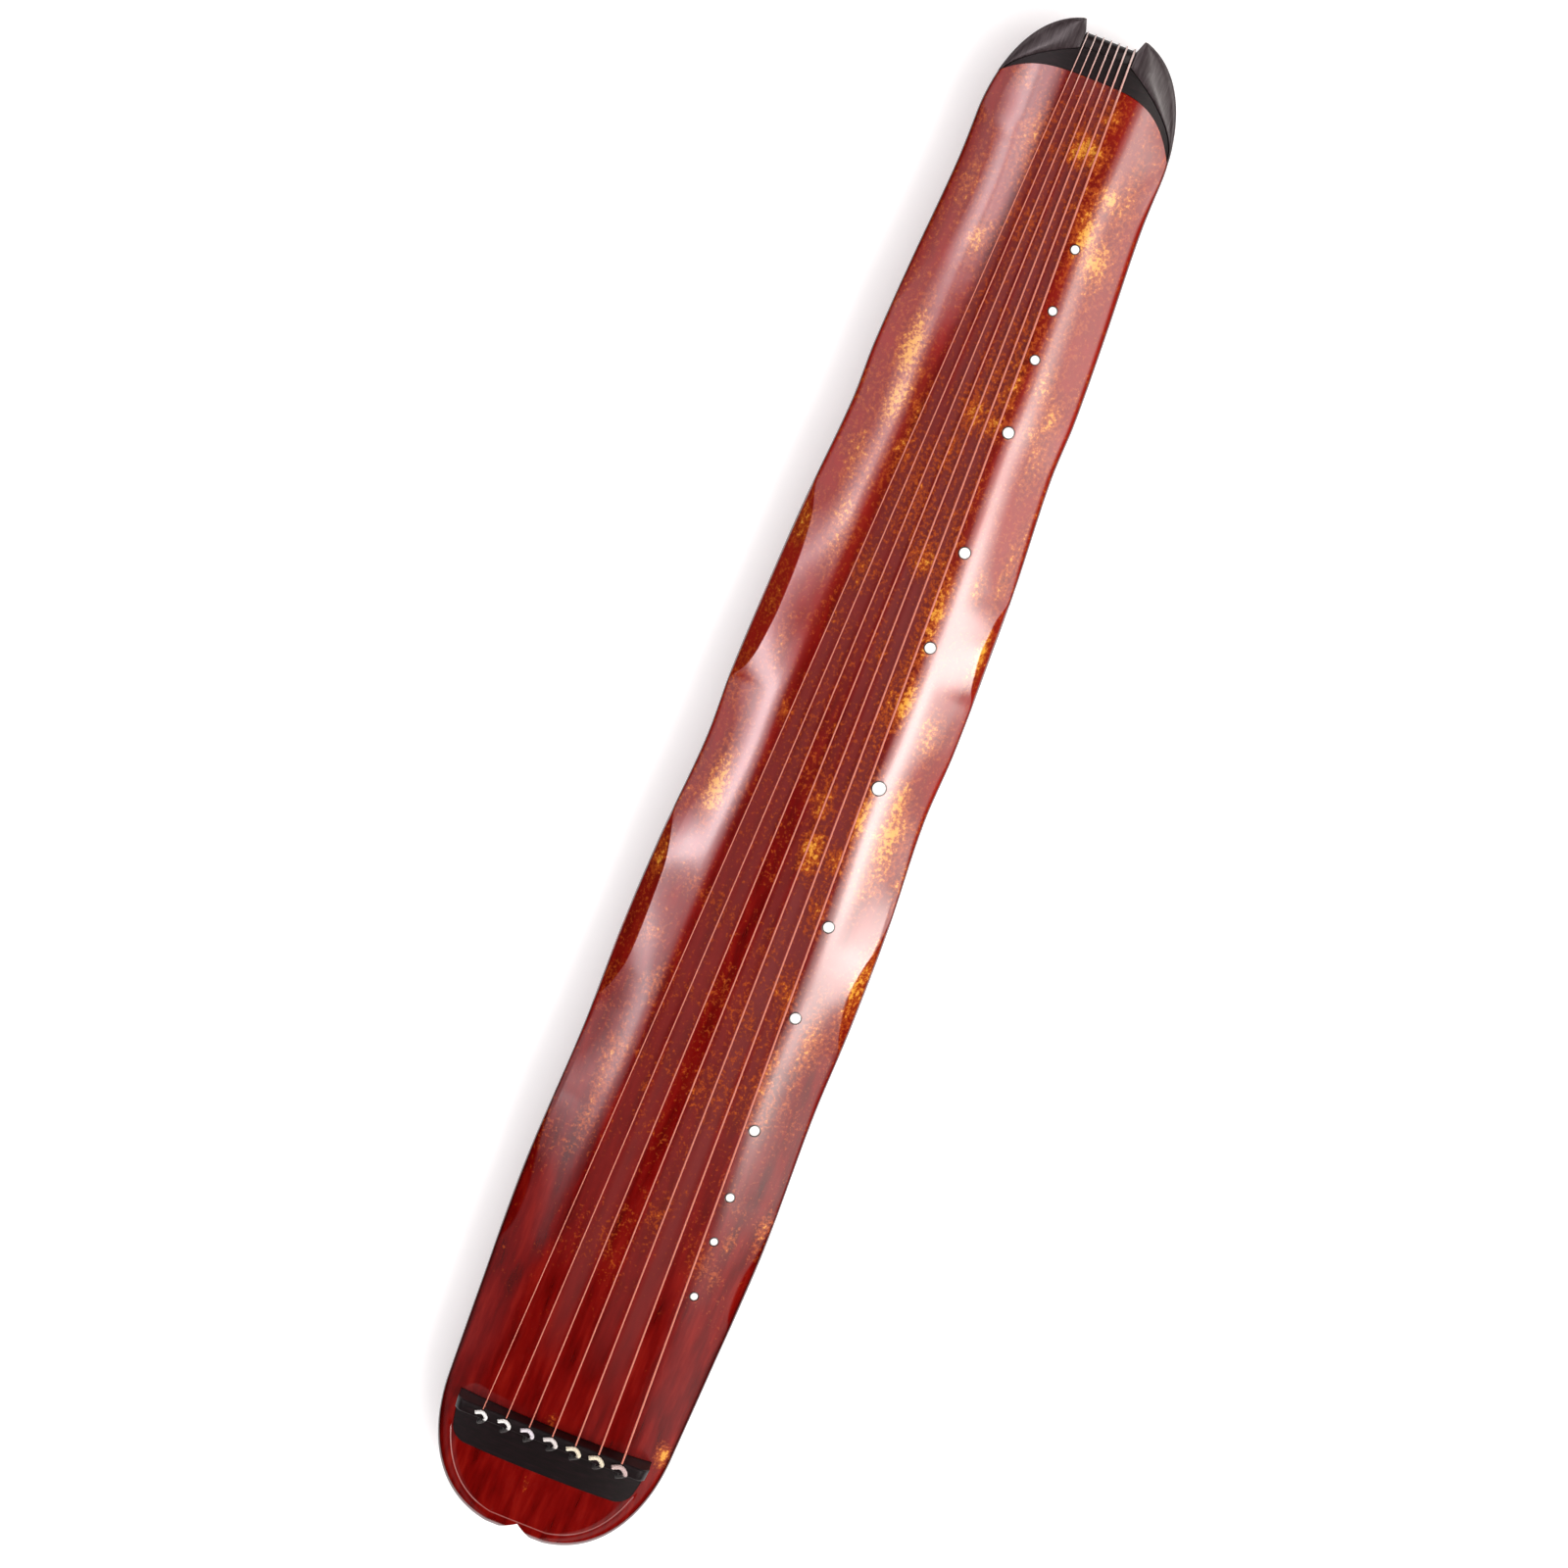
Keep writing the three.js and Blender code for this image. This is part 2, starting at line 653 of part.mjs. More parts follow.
function lacquerEnd(y) {
  const reach = Math.abs(y) / ((TAIL_WIDTH / 2) * HORN_REACH_SHARE);
  const horn = y > 0 ? OUTER_HORN_LENGTH : INNER_HORN_LENGTH;
  return X_NUT + TAIL_PLATE_LENGTH + horn * reach ** HORN_CURVE_SHARE;
}

function inlayPrism(clearance) {
  const side = TAIL_WIDTH / 2 + RIM_WIDTH;
  const curve = SLAB_SHARES.flatMap((share, i) => (
    i ? [between(SLAB_SHARES[i - 1], share, 1 / 2), share] : [share]
  )).map((share) => [lacquerEnd(share * side) - clearance, share * side]);
  const plan = [[X_TAIL - OVERRUN, -side], ...curve, [X_TAIL - OVERRUN, side]];
  return uprightPrism(plan, Z_INLAY, Z_ABOVE);
}

// How far along a wing a place lies, from 0 at the nut to 1 at its end
function alongWing(x, side) {
  const length = side > 0 ? OUTER_WING_LENGTH : INNER_WING_LENGTH;
  return limit((x - X_NUT_FOOT) / length, 0, 1);
}

// Inner edge of a wing: along the nut, then sweeping out to the outline
function wingInner(x, side) {
  const flare = WING_TIP_FLARE * limit((X_END - x) / (X_END - X_TAIL), 0, 1);
  const nutSide = NUT_HALF + GAP + flare;
  const t = alongWing(x, side);
  const thick = WING_END_WIDTH + WING_ROOT_WIDTH * (1 - t) ** WING_CURVE_SHARE;
  return Math.max(nutSide, outline(x) - thick);
}

// Places of the wings' cross-sections ahead of the nut, the last of them past
// the rounded end of the lacquer
function wingPlaces() {
  const steps = 2 * END_STEPS;
  const end = X_NUT_FOOT + OUTER_WING_LENGTH;
  const places = Array.from({ length: steps + 1 }, (_, i) => between(X_NUT_FOOT, end, i / steps));
  return [...places, end + OVERRUN];
}

function wing(side) {
  const tip = [X_TAIL, between(X_TAIL, X_END, 1 / 3), X_END, between(X_END, X_NUT_FOOT, 1 / 2)];
  const rings = [...tip, ...wingPlaces()].map((x) => {
    const inner = wingInner(x, side);
    const outer = outline(x);
    const t = alongWing(x, side);
    const rise = WING_RISE * (1 - t);
    const crest = surface(X_NUT_FOOT, NUT_HALF) + WING_RISE;
    const high = (share) => {
      const y = between(inner, outer - EDGE_ROUND / 2, share);
      const level = Math.min(surface(Math.max(x, X_END), y), crest - WING_RISE);
      const swell = WING_SWELL * Math.sin(Math.PI * share) * (1 - t);
      return [x, side * y, level + rise * (1 - share / 2) + swell];
    };
    const rim = high(1);
    return [
      [x, side * inner, Z_INLAY + GAP], high(0), high(1 / 3), high(2 / 3), rim,
      [x, side * outer, rim[2] - EDGE_ROUND], [x, side * outer, Z_INLAY + GAP],
    ];
  });
  return shapeOf(solid(loft(rings)).intersect(solid(inlayPrism(GAP))));
}

function tailPlate() {
  const plate = slab(
    [X_NUT_FOOT + GAP, ...wingPlaces().slice(1)],
    (x, side) => wingInner(x, side) - 2 * GAP,
    () => Z_INLAY + GAP,
    (x, y) => surface(x, y) + TAIL_PLATE_PROUD,
  );
  return shapeOf(solid(plate).intersect(solid(inlayPrism(GAP))));
}

const nutTop = crown(X_NUT) + NUT_RISE;

function tailNut() {
  const top = arc(X_NUT, nutTop - NUT_ROUND, NUT_ROUND, 180, 90, 2 * BEND_STEPS);
  const plateLevel = crown(X_NUT) + TAIL_PLATE_PROUD;
  const side = [
    [X_END, Z_INLAY + GAP], ...top, [X_NUT_FOOT, plateLevel], [X_NUT_FOOT, Z_INLAY + GAP],
  ];
  return crosswisePrism(side.reverse(), -NUT_HALF, NUT_HALF);
}

function tailNutSupport() {
  const corner = arc(
    X_END + SUPPORT_ROUND, FOOT_HEIGHT + SUPPORT_ROUND, SUPPORT_ROUND, 180, 270, BEND_STEPS,
  );
  const side = [...corner, [X_NUT_FOOT, FOOT_HEIGHT], [X_NUT_FOOT, Z_INLAY], [X_END, Z_INLAY]];
  return crosswisePrism(side, -NUT_HALF, NUT_HALF);
}

// Studs: each lies square to the surface in its own pocket

function studFrame(share) {
  const x = along(share);
  const y = between(bridgeY(0), nutY(0), share) + STUD_SET_OUT;
  const step = SLOPE_STEP_SHARE * STRING_LENGTH;
  const slopeX = (surface(x + step, y) - surface(x - step, y)) / (2 * step);
  const slopeY = (surface(x, y + step) - surface(x, y - step)) / (2 * step);
  return { point: new THREE.Vector3(x, y, surface(x, y)), slopeX, slopeY };
}

// Disc in the surface, from a depth below it to a height above it
function studDisc(share, radius, depth, height) {
  const { point, slopeX, slopeY } = studFrame(share);
  const disc = new THREE.CylinderGeometry(radius, radius, depth + height, STUD_SIDES);
  disc.translate(0, (height - depth) / 2, 0).rotateX(Math.PI / 2);
  const normal = new THREE.Vector3(-slopeX, -slopeY, 1).normalize();
  const turn = new THREE.Quaternion().setFromUnitVectors(new THREE.Vector3(0, 0, 1), normal);
  return disc.applyQuaternion(turn).translate(point.x, point.y, point.z);
}

const studRadius = (size) => (LARGEST_STUD * size) / 2;

function studPockets() {
  return STUD_SHARES.map(([share, size]) => (
    studDisc(share, studRadius(size) + GAP, STUD_THICKNESS + GAP, OVERRUN)
  ));
}

// Sound box

const soundHoles = [
  { x: along(DRAGON_POOL_SHARE), length: DRAGON_POOL_LENGTH },
  { x: along(PHOENIX_POND_SHARE), length: PHOENIX_POND_LENGTH },
];

// The roof of the box comes down to a thick lip over each sound hole
function lipAt(x) {
  const shares = soundHoles.map((hole) => {
    const reach = hole.length / 2 + SOUND_LIP_MARGIN;
    return limit((reach - Math.abs(x - hole.x)) / SOUND_LIP_SLOPE, 0, 1);
  });
  return SOUND_LIP_DEPTH * Math.max(...shares);
}

const roof = (x, y) => surface(x, y) - TOP_THICKNESS;

function soundBox() {
  const from = X_NUT + TAIL_BLOCK;
  const to = X_BRIDGE - HEAD_BLOCK;
  const places = [];
  for (let i = 0; i <= BOX_STEPS; i += 1) {
    places.push(between(from, to, i / BOX_STEPS));
  }
  for (const hole of soundHoles) {
    const reach = hole.length / 2 + SOUND_LIP_MARGIN;
    for (const end of [-1, 1]) {
      places.push(hole.x + end * reach, hole.x + end * (reach - SOUND_LIP_SLOPE));
    }
  }
  const lip = SOUND_LIP_WIDTH / 2;
  const rings = places.sort((a, b) => a - b).map((x) => {
    const half = outline(x) - SIDE_WALL;
    const middle = between(lip, half, 1 / 2);
    const side = [
      [0, roof(x, 0) - lipAt(x)], [lip, roof(x, lip) - lipAt(x)],
      [lip + GAP, roof(x, lip + GAP)], [middle, roof(x, middle)],
      [half, roof(x, half)], [half, Z_SEAM - OVERRUN],
    ];
    const left = side.map(([y, z]) => [x, -y, z]).reverse();
    const right = side.slice(1).map(([y, z]) => [x, y, z]);
    return [...left, ...right];
  });
  return loft(rings);
}

function topBoard() {
  const rings = bodyPlaces(BODY_STEPS, END_STEPS).map((x) => [
    ...topHalfSection(x, -1).reverse(),
    ...topHalfSection(x, 1).slice(1),
  ]);
  const below = Z_SEAM - OVERRUN;
  return shapeOf(cut(solid(loft(rings)), [
    soundBox(),
    uprightPrism(tailGapPlan, below, Z_ABOVE),
    uprightPrism(notchPlan, below, Z_ABOVE),
    uprightPrism(poolPlan, below, Z_POOL_ROOF),
    inlayPrism(0),
    barRecess(),
    ...cordHoles(),
    ...studPockets(),
  ]));
}

const outerFoot = { x: X_FOOT, y: FOOT_SPREAD / 2 };
const innerFoot = { x: X_FOOT, y: -FOOT_SPREAD / 2 };
const guardY = (peggedSpan + PEG_FOOT_DIAMETER + GUARD_THICKNESS) / 2 + GUARD_PEG_GAP;

// Square or oblong peg of wood round a place, and the socket that takes it
function tenon(x, y, length, width, clearance = 0) {
  const low = clearance ? FOOT_HEIGHT - OVERRUN : FOOT_HEIGHT - 2 * GAP;
  const high = clearance ? Z_ABOVE : FOOT_HEIGHT + TENON_HEIGHT;
  const halfLength = length / 2 + clearance;
  const halfWidth = width / 2 + clearance;
  return block(
    [x - halfLength, y - halfWidth, low], [x + halfLength, y + halfWidth, high],
  );
}

const footTenon = (foot, clearance) => tenon(foot.x, foot.y, TENON_WIDTH, TENON_WIDTH, clearance);
const guardTenon = (side, clearance) => tenon(
  X_CORD_HOLE, side * guardY, GUARD_TENON_LENGTH, GUARD_TENON_THICKNESS, clearance,
);

function bottomBoard() {
  const rings = bodyPlaces(BODY_STEPS / 2, END_STEPS).map((x) => {
    const half = outline(x) - SIDE_TUCK;
    return [
      [x, -half, Z_BOTTOM_TOP], [x, -half, FOOT_HEIGHT + BOTTOM_CHAMFER],
      [x, -half + BOTTOM_CHAMFER, FOOT_HEIGHT], [x, half - BOTTOM_CHAMFER, FOOT_HEIGHT],
      [x, half, FOOT_HEIGHT + BOTTOM_CHAMFER], [x, half, Z_BOTTOM_TOP],
    ];
  });
  const below = FOOT_HEIGHT - OVERRUN;
  return shapeOf(cut(solid(loft(rings)), [
    ...soundHoles.map((hole) => uprightPrism(
      slotPlan(hole.x, 0, hole.length, SOUND_HOLE_WIDTH, false), below, Z_ABOVE,
    )),
    uprightPrism(tailGapPlan, below, Z_ABOVE),
    uprightPrism(notchPlan, below, Z_ABOVE),
    uprightPrism(poolPlan, below, Z_ABOVE),
    footTenon(outerFoot, GAP),
    footTenon(innerFoot, GAP),
    guardTenon(1, GAP),
    guardTenon(-1, GAP),
  ]));
}

function roundPost() {
  const x = along(ROUND_POST_SHARE);
  const low = Z_BOTTOM_TOP + GAP;
  const height = roof(x, 0) - 2 * GAP - low;
  const radius = ROUND_POST_DIAMETER / 2;
  const post = new THREE.CylinderGeometry(radius, radius, height, 2 * STUD_SIDES);
  return post.rotateX(Math.PI / 2).translate(x, 0, low + height / 2);
}

function squarePost() {
  const x = along(SQUARE_POST_SHARE);
  const half = SQUARE_POST_WIDTH / 2;
  return block(
    [x - half, -half, Z_BOTTOM_TOP + GAP], [x + half, half, roof(x, 0) - 2 * GAP],
  );
}

// Revolved solid from a profile of radii and heights, standing on a place
function turned(profile, x, y, sides) {
  const points = profile.map(([radius, z]) => new THREE.Vector2(radius, z));
  const geometry = new THREE.LatheGeometry(points, sides);
  return geometry.rotateX(Math.PI / 2).translate(x, y, 0);
}

const footWaistLow = FOOT_BASE_HEIGHT + FOOT_FLARE_HEIGHT;
const footWaistHigh = FOOT_HEIGHT - GAP - FOOT_FLANGE_HEIGHT;

// Goose foot: a flared base, a waist for the strings and a tenon into the board
function gooseFoot(foot) {
  const base = FOOT_DIAMETER / 2;
  const waist = FOOT_WAIST_DIAMETER / 2;
  const foundation = turned([
    [0, 0], [base - EDGE_ROUND / 2, 0], [base, EDGE_ROUND / 2], [base, FOOT_BASE_HEIGHT],
    [waist, footWaistLow], [waist, footWaistHigh], [FOOT_FLANGE_DIAMETER / 2, FOOT_HEIGHT - GAP],
    [0, FOOT_HEIGHT - GAP],
  ], foot.x, foot.y, FOOT_SIDES);
  return shapeOf(solid(foundation).add(solid(footTenon(foot))));
}

// Peg guard: a short leg with a drawn-in waist, rounded in plan
function pegGuard(side) {
  const top = FOOT_HEIGHT - GAP;
  const rings = GUARD_SHARES.map(([level, size]) => {
    const x = (GUARD_LENGTH * size) / 2 - GUARD_CORNER;
    const y = (GUARD_THICKNESS * size) / 2 - GUARD_CORNER;
    const corners = [[x, y, 0], [-x, y, 90], [-x, -y, 180], [x, -y, 270]];
    return corners.flatMap(([cx, cy, from]) => (
      arc(cx, cy, GUARD_CORNER, from, from + 90, 2)
    )).map(([px, py]) => [X_CORD_HOLE + px, side * guardY + py, level * top]);
  });
  return shapeOf(solid(loft(rings)).add(solid(guardTenon(side))));
}

// Pegs

const pegTop = Z_POOL_ROOF - GAP;
const pegWaistHigh = pegTop - PEG_HEAD_HEIGHT;
const pegWaistLow = pegWaistHigh - PEG_WAIST_HEIGHT;
const pegHoleLevel = pegWaistHigh - PEG_BORE / 2 - EDGE_ROUND / 3;

function peg(k) {
  const low = pegTop - PEG_LENGTH;
  const neck = PEG_NECK_DIAMETER / 2;
  const wide = PEG_FOOT_DIAMETER / 2;
  const body = turned([
    [0, low], [wide - EDGE_ROUND, low], [wide, low + EDGE_ROUND],
    [neck, pegWaistLow - PEG_HEAD_HEIGHT / 2], [PEG_WAIST_DIAMETER / 2, pegWaistLow],
    [PEG_WAIST_DIAMETER / 2, pegWaistHigh], [PEG_HEAD_DIAMETER / 2, pegWaistHigh + EDGE_ROUND / 2],
    [PEG_HEAD_DIAMETER / 2, pegTop], [0, pegTop],
  ], X_CORD_HOLE, bridgeY(k), PEG_SIDES);
  const radius = PEG_BORE / 2;
  const bore = uprightPrism(
    circlePlan(X_CORD_HOLE, bridgeY(k), radius, PEG_SIDES), pegHoleLevel - radius, Z_ABOVE,
  );
  const side = new THREE.CylinderGeometry(radius, radius, PEG_HEAD_DIAMETER, PEG_SIDES);
  side.rotateZ(Math.PI / 2);
  side.translate(X_CORD_HOLE + PEG_HEAD_DIAMETER / 2, bridgeY(k), pegHoleLevel);
  return shapeOf(cut(solid(body), [bore, side]));
}

// Cord of a peg: down the bore, out at the side and round the waist
function pegCordPath(k) {
  const bend = PEG_CORD_BEND;
  const reach = (PEG_WAIST_DIAMETER + PEG_CORD_THICKNESS) / 2 + TURN_CLEARANCE;
  const pitch = PEG_CORD_THICKNESS + TURN_GAP;
  const down = arc(bend, pegHoleLevel + bend, bend, 180, 270, BEND_STEPS - 1);
  const out = arc(reach - bend, bend, bend, -90, 0, BEND_STEPS - 1);
  const path = [[0, 0, pegTop], ...down.map(([x, z]) => [x, 0, z])];
  path.push(...out.map(([x, y]) => [x, y, pegHoleLevel]));
  for (let i = 1; i <= PEG_TURN_COUNT * PEG_TURN_STEPS; i += 1) {
    const turn = i / PEG_TURN_STEPS;
    const angle = 2 * Math.PI * turn;
    path.push([reach * Math.cos(angle), reach * Math.sin(angle), pegHoleLevel - pitch * turn]);
  }
  return path.map(([x, y, z]) => [X_CORD_HOLE + x, bridgeY(k) + y, z]);
}

// The knots grow smaller with their strings
const knotThickness = (k) => between(THICK_KNOT, THIN_KNOT, k / (STRING_COUNT - 1));
const knotArm = (k) => between(LONG_KNOT_ARM, SHORT_KNOT_ARM, k / (STRING_COUNT - 1));

// Cord of a string: a two-armed knot on the bridge, then over its back edge and
// down through the plate and the head to the peg
function tuningCordPath(k) {
  const arm = knotArm(k);
  const level = bridgeTop + GAP + knotThickness(k) / 2;
  const knot = KNOT_ROUTE_SHARES.map(([forward, sideways]) => [
    X_BRIDGE + KNOT_SET_BACK + forward * arm, bridgeY(k) + sideways * arm, level,
  ]);
  const drop = CORD_DROP_SHARES.map(([forward, sideways, down]) => [
    between(X_BRIDGE, X_CORD_HOLE, forward), bridgeY(k) + sideways * arm,
    bridgeTop - down * BRIDGE_RISE,
  ]);
  return [...knot, ...drop, [X_CORD_HOLE, bridgeY(k), Z_POOL_ROOF]];
}

const cordRadii = (k) => KNOT_WIDTH_SHARES.map((share) => (
  between(CORD_THICKNESS, knotThickness(k), share) / 2
));

// Strings

const stringThickness = (k) => between(THICK_STRING, THIN_STRING, k / (STRING_COUNT - 1));

// Turns round the waist of a goose foot, one string's below another's
function footTurns(k) {
  const outer = k < OUTER_FOOT_STRING_COUNT;
  const foot = outer ? outerFoot : innerFoot;
  const hand = outer ? 1 : -1;
  const reach = FOOT_WAIST_DIAMETER / 2 + TURN_CLEARANCE + stringThickness(k) / 2;
  const pitch = stringThickness(k) + TURN_GAP;
  let level = footWaistHigh - GAP - stringThickness(k) / 2;
  for (let j = outer ? 0 : OUTER_FOOT_STRING_COUNT; j < k; j += 1) {
    level -= 2 * (stringThickness(j) + TURN_GAP);
  }
  const steps = Math.round(FOOT_TURN_SHARE * FOOT_TURN_STEPS);
  const path = [];
  for (let i = 0; i <= steps; i += 1) {
    const turn = i / FOOT_TURN_STEPS;
    const angle = 2 * Math.PI * (turn - 1 / 4);
    path.push([
      foot.x + reach * Math.cos(angle),
      foot.y + hand * reach * Math.sin(angle),
      level - pitch * turn,
    ]);
  }
  return path;
}

// The whole run of a string: from its knot over the bridge and the nut, down
// the tail and back under the body to its foot
function stringPath(k) {
  const ride = stringThickness(k) / 2 + GAP;
  const steps = BEND_STEPS;
  const start = X_BRIDGE + KNOT_SET_BACK - knotThickness(k) / 2 - GAP;
  const overNut = arc(X_NUT, nutTop - NUT_ROUND, NUT_ROUND + ride, 90, 180, steps);
  const underTail = arc(
    X_END + SUPPORT_ROUND, FOOT_HEIGHT + SUPPORT_ROUND, SUPPORT_ROUND + ride, 180, 270, steps,
  );
  return [
    [start, bridgeY(k), bridgeTop + ride],
    [X_BRIDGE, bridgeY(k), bridgeTop + ride],
    ...overNut.map(([x, z]) => [x, nutY(k), z]),
    ...underTail.map(([x, z]) => [x, nutY(k), z]),
    ...footTurns(k),
  ];
}

// Least distance between stretches of a winding that lie more than a few
// thicknesses apart along it, less the thickness
function leastGap(path, thickness) {
  const fine = [];
  let run = 0;
  for (let i = 1; i < path.length; i += 1) {
    const from = new THREE.Vector3(...path[i - 1]);
    const to = new THREE.Vector3(...path[i]);
    const length = from.distanceTo(to);
    const steps = Math.ceil(length / (thickness / 4));
    for (let j = 0; j < steps; j += 1) {
      fine.push({ point: from.clone().lerp(to, j / steps), run: run + (length * j) / steps });
    }
    run += length;
  }
  let least = Infinity;
  for (const a of fine) {
    for (const b of fine) {
      if (b.run - a.run > 4 * thickness) {
        least = Math.min(least, a.point.distanceTo(b.point));
      }
    }
  }
  return least - thickness;
}

function lengthOf(path) {
  const points = path.map((p) => new THREE.Vector3(...p));
  const stretches = points.slice(1).map((p, i) => p.distanceTo(points[i]));
  return stretches.reduce((sum, length) => sum + length, 0);
}

function report(name, path, gap) {
  console.log(`${name}: length ${lengthOf(path).toFixed(0)} mm, least gap ${gap.toFixed(2)} mm`);
}

// Assembly

place('top_board', topBoard(), LACQUER);
place('bottom_board', bottomBoard(), LACQUER);
place('bridge', bridge(), ROSEWOOD);
place('bridge_plate', bridgePlate(), ROSEWOOD);
place('tail_nut', tailNut(), ROSEWOOD);
place('tail_nut_support', tailNutSupport(), ROSEWOOD);
place('tail_plate', tailPlate(), ROSEWOOD);
place('tail_wing_outer', wing(1), WING_WOOD);
place('tail_wing_inner', wing(-1), WING_WOOD);
place('sound_post_round', roundPost(), BARE_WOOD);
place('sound_post_square', squarePost(), BARE_WOOD);
place('goose_foot_outer', gooseFoot(outerFoot), ROSEWOOD);
place('goose_foot_inner', gooseFoot(innerFoot), ROSEWOOD);
place('peg_guard_outer', pegGuard(1), ROSEWOOD);
place('peg_guard_inner', pegGuard(-1), ROSEWOOD);

STUD_SHARES.forEach(([share, size], i) => {
  const stud = studDisc(share, studRadius(size), STUD_THICKNESS, STUD_PROUD);
  place(`stud_${i + 1}`, stud, SHELL);
});

for (const k of eachString) {
  const path = stringPath(k);
  const thickness = stringThickness(k);
  place(`string_${k + 1}`, tube(path, thickness / 2, STRING_SIDES), STRING_SILK);
  place(`tuning_cord_${k + 1}`, tube(tuningCordPath(k), cordRadii(k), CORD_SIDES), SILK_CORD);
  place(`peg_${k + 1}`, peg(k), ROSEWOOD);
  const pegCord = tube(pegCordPath(k), PEG_CORD_THICKNESS / 2, STRING_SIDES);
  place(`peg_cord_${k + 1}`, pegCord, SILK_CORD);
  const wound = path.slice(-footTurns(k).length - 1);
  report(`string ${k + 1}`, path, leastGap(wound, thickness));
}
const tuningPath = tuningCordPath(0);
const windingPath = pegCordPath(0);
report('tuning cord', tuningPath, leastGap(tuningPath, knotThickness(0)));
report('peg cord', windingPath, leastGap(windingPath, PEG_CORD_THICKNESS));

export default guqin;
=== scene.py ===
# %% [markdown]
# # A seven-stringed guqin in lacquer and silk
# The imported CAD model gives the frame: the pieces below stand where its nodes
# stand, each a finer version of one. First come the tools and the light, then
# the finishes, then piece after piece.

# %% The frame
import math

import bmesh
import bpy
import numpy as np
from mathutils import Matrix, Vector
from mathutils.kdtree import KDTree


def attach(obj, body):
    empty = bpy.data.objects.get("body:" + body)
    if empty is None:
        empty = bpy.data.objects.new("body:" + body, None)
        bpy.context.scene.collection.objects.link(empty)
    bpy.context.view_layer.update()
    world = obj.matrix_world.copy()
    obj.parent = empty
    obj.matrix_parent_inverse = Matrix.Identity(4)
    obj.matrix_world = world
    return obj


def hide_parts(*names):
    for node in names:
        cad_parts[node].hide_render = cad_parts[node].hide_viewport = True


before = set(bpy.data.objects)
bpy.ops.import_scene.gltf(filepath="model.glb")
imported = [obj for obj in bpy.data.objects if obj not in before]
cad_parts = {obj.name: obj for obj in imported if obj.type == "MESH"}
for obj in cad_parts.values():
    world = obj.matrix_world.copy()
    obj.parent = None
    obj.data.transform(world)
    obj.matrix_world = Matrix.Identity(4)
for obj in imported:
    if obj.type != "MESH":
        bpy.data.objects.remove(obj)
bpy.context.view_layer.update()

# %% [markdown]
# ## Camera
# The photograph looks down on the guqin from above its tail. The studs lie at
# known fractions of the string, so they gave the camera's place and lens.

# %% Camera
MM = 0.001
LENS = 80.15
SENSOR = 36
CAMERA_PLACE = (-0.4815, -0.0412, 2.6277)
CAMERA_RIGHT = (-0.365, 0.9292, -0.0587)
CAMERA_AHEAD = (0.1784, 0.0079, -0.9839)

camera = bpy.data.objects.new("camera", bpy.data.cameras.new("camera"))
camera.data.lens = LENS
camera.data.sensor_width = SENSOR
ahead = Vector(CAMERA_AHEAD).normalized()
up = Vector(CAMERA_RIGHT).cross(ahead).normalized()
right = ahead.cross(up)
turn = Matrix((right, up, -ahead)).transposed().to_4x4()
camera.matrix_world = Matrix.Translation(CAMERA_PLACE) @ turn
bpy.context.scene.collection.objects.link(camera)
bpy.context.scene.camera = camera

# %% [markdown]
# ## Light
# Gloss on lacquer shows what hangs above it. The world holds the images of two
# long soft boxes, one on each side, each with a bright core and a wide dim
# part, and of a low one by the tail. Between them the ceiling is dark, so that
# the red stays deep. One broad lamp fills in the colour from the side of the
# studs. It shows in no reflection, so the gloss keeps to the soft boxes.

# %% Fill lamp
FILL_WIDTH = 6
FILL_PLACE = (0.2, 1.9, 3.8)
FILL_RADIANCE = 2.3

lamp = bpy.data.lights.new("fill", "AREA")
lamp.size = FILL_WIDTH
lamp.energy = FILL_RADIANCE * math.pi * FILL_WIDTH ** 2
fill = bpy.data.objects.new("fill", lamp)
fill.location = FILL_PLACE
fill.rotation_euler = Vector(FILL_PLACE).to_track_quat("Z", "Y").to_euler()
fill.visible_camera = False
fill.visible_glossy = False
bpy.context.scene.collection.objects.link(fill)

# %% Shader tools


def srgb(code, alpha=1):
    """Linear colour from an sRGB hex value."""
    shares = [int(code[i:i + 2], 16) / 255 for i in (0, 2, 4)]
    linear = [c / 12.92 if c <= 0.04045 else ((c + 0.055) / 1.055) ** 2.4 for c in shares]
    return (*linear, alpha)


def set_up(tree, target, values):
    """Sets or links the sockets of a node."""
    for socket, value in values.items():
        if isinstance(value, bpy.types.NodeSocket):
            tree.links.new(value, target.inputs[socket])
        else:
            target.inputs[socket].default_value = value


def node(tree, kind, inputs=(), out=0, stops=(), **settings):
    """Adds a node with its settings, values and links, and gives one output."""
    made = tree.nodes.new("ShaderNode" + kind)
    for setting, value in settings.items():
        setattr(made, setting, value)
    set_up(tree, made, dict(inputs))
    for i, (place, code) in enumerate(stops):
        marks = made.color_ramp.elements
        mark = marks[i] if i < len(marks) else marks.new(place)
        mark.position = place
        mark.color = srgb(code) if isinstance(code, str) else (code, code, code, 1)
    return made if out is None else made.outputs[out]


def layered(tree, colour, *coats):
    """Colour under coats of other colours, each as dense as its share."""
    for share, code in coats:
        colour = node(tree, "Mix", {0: share, 6: colour, 7: srgb(code)}, 2, data_type="RGBA")
    return colour


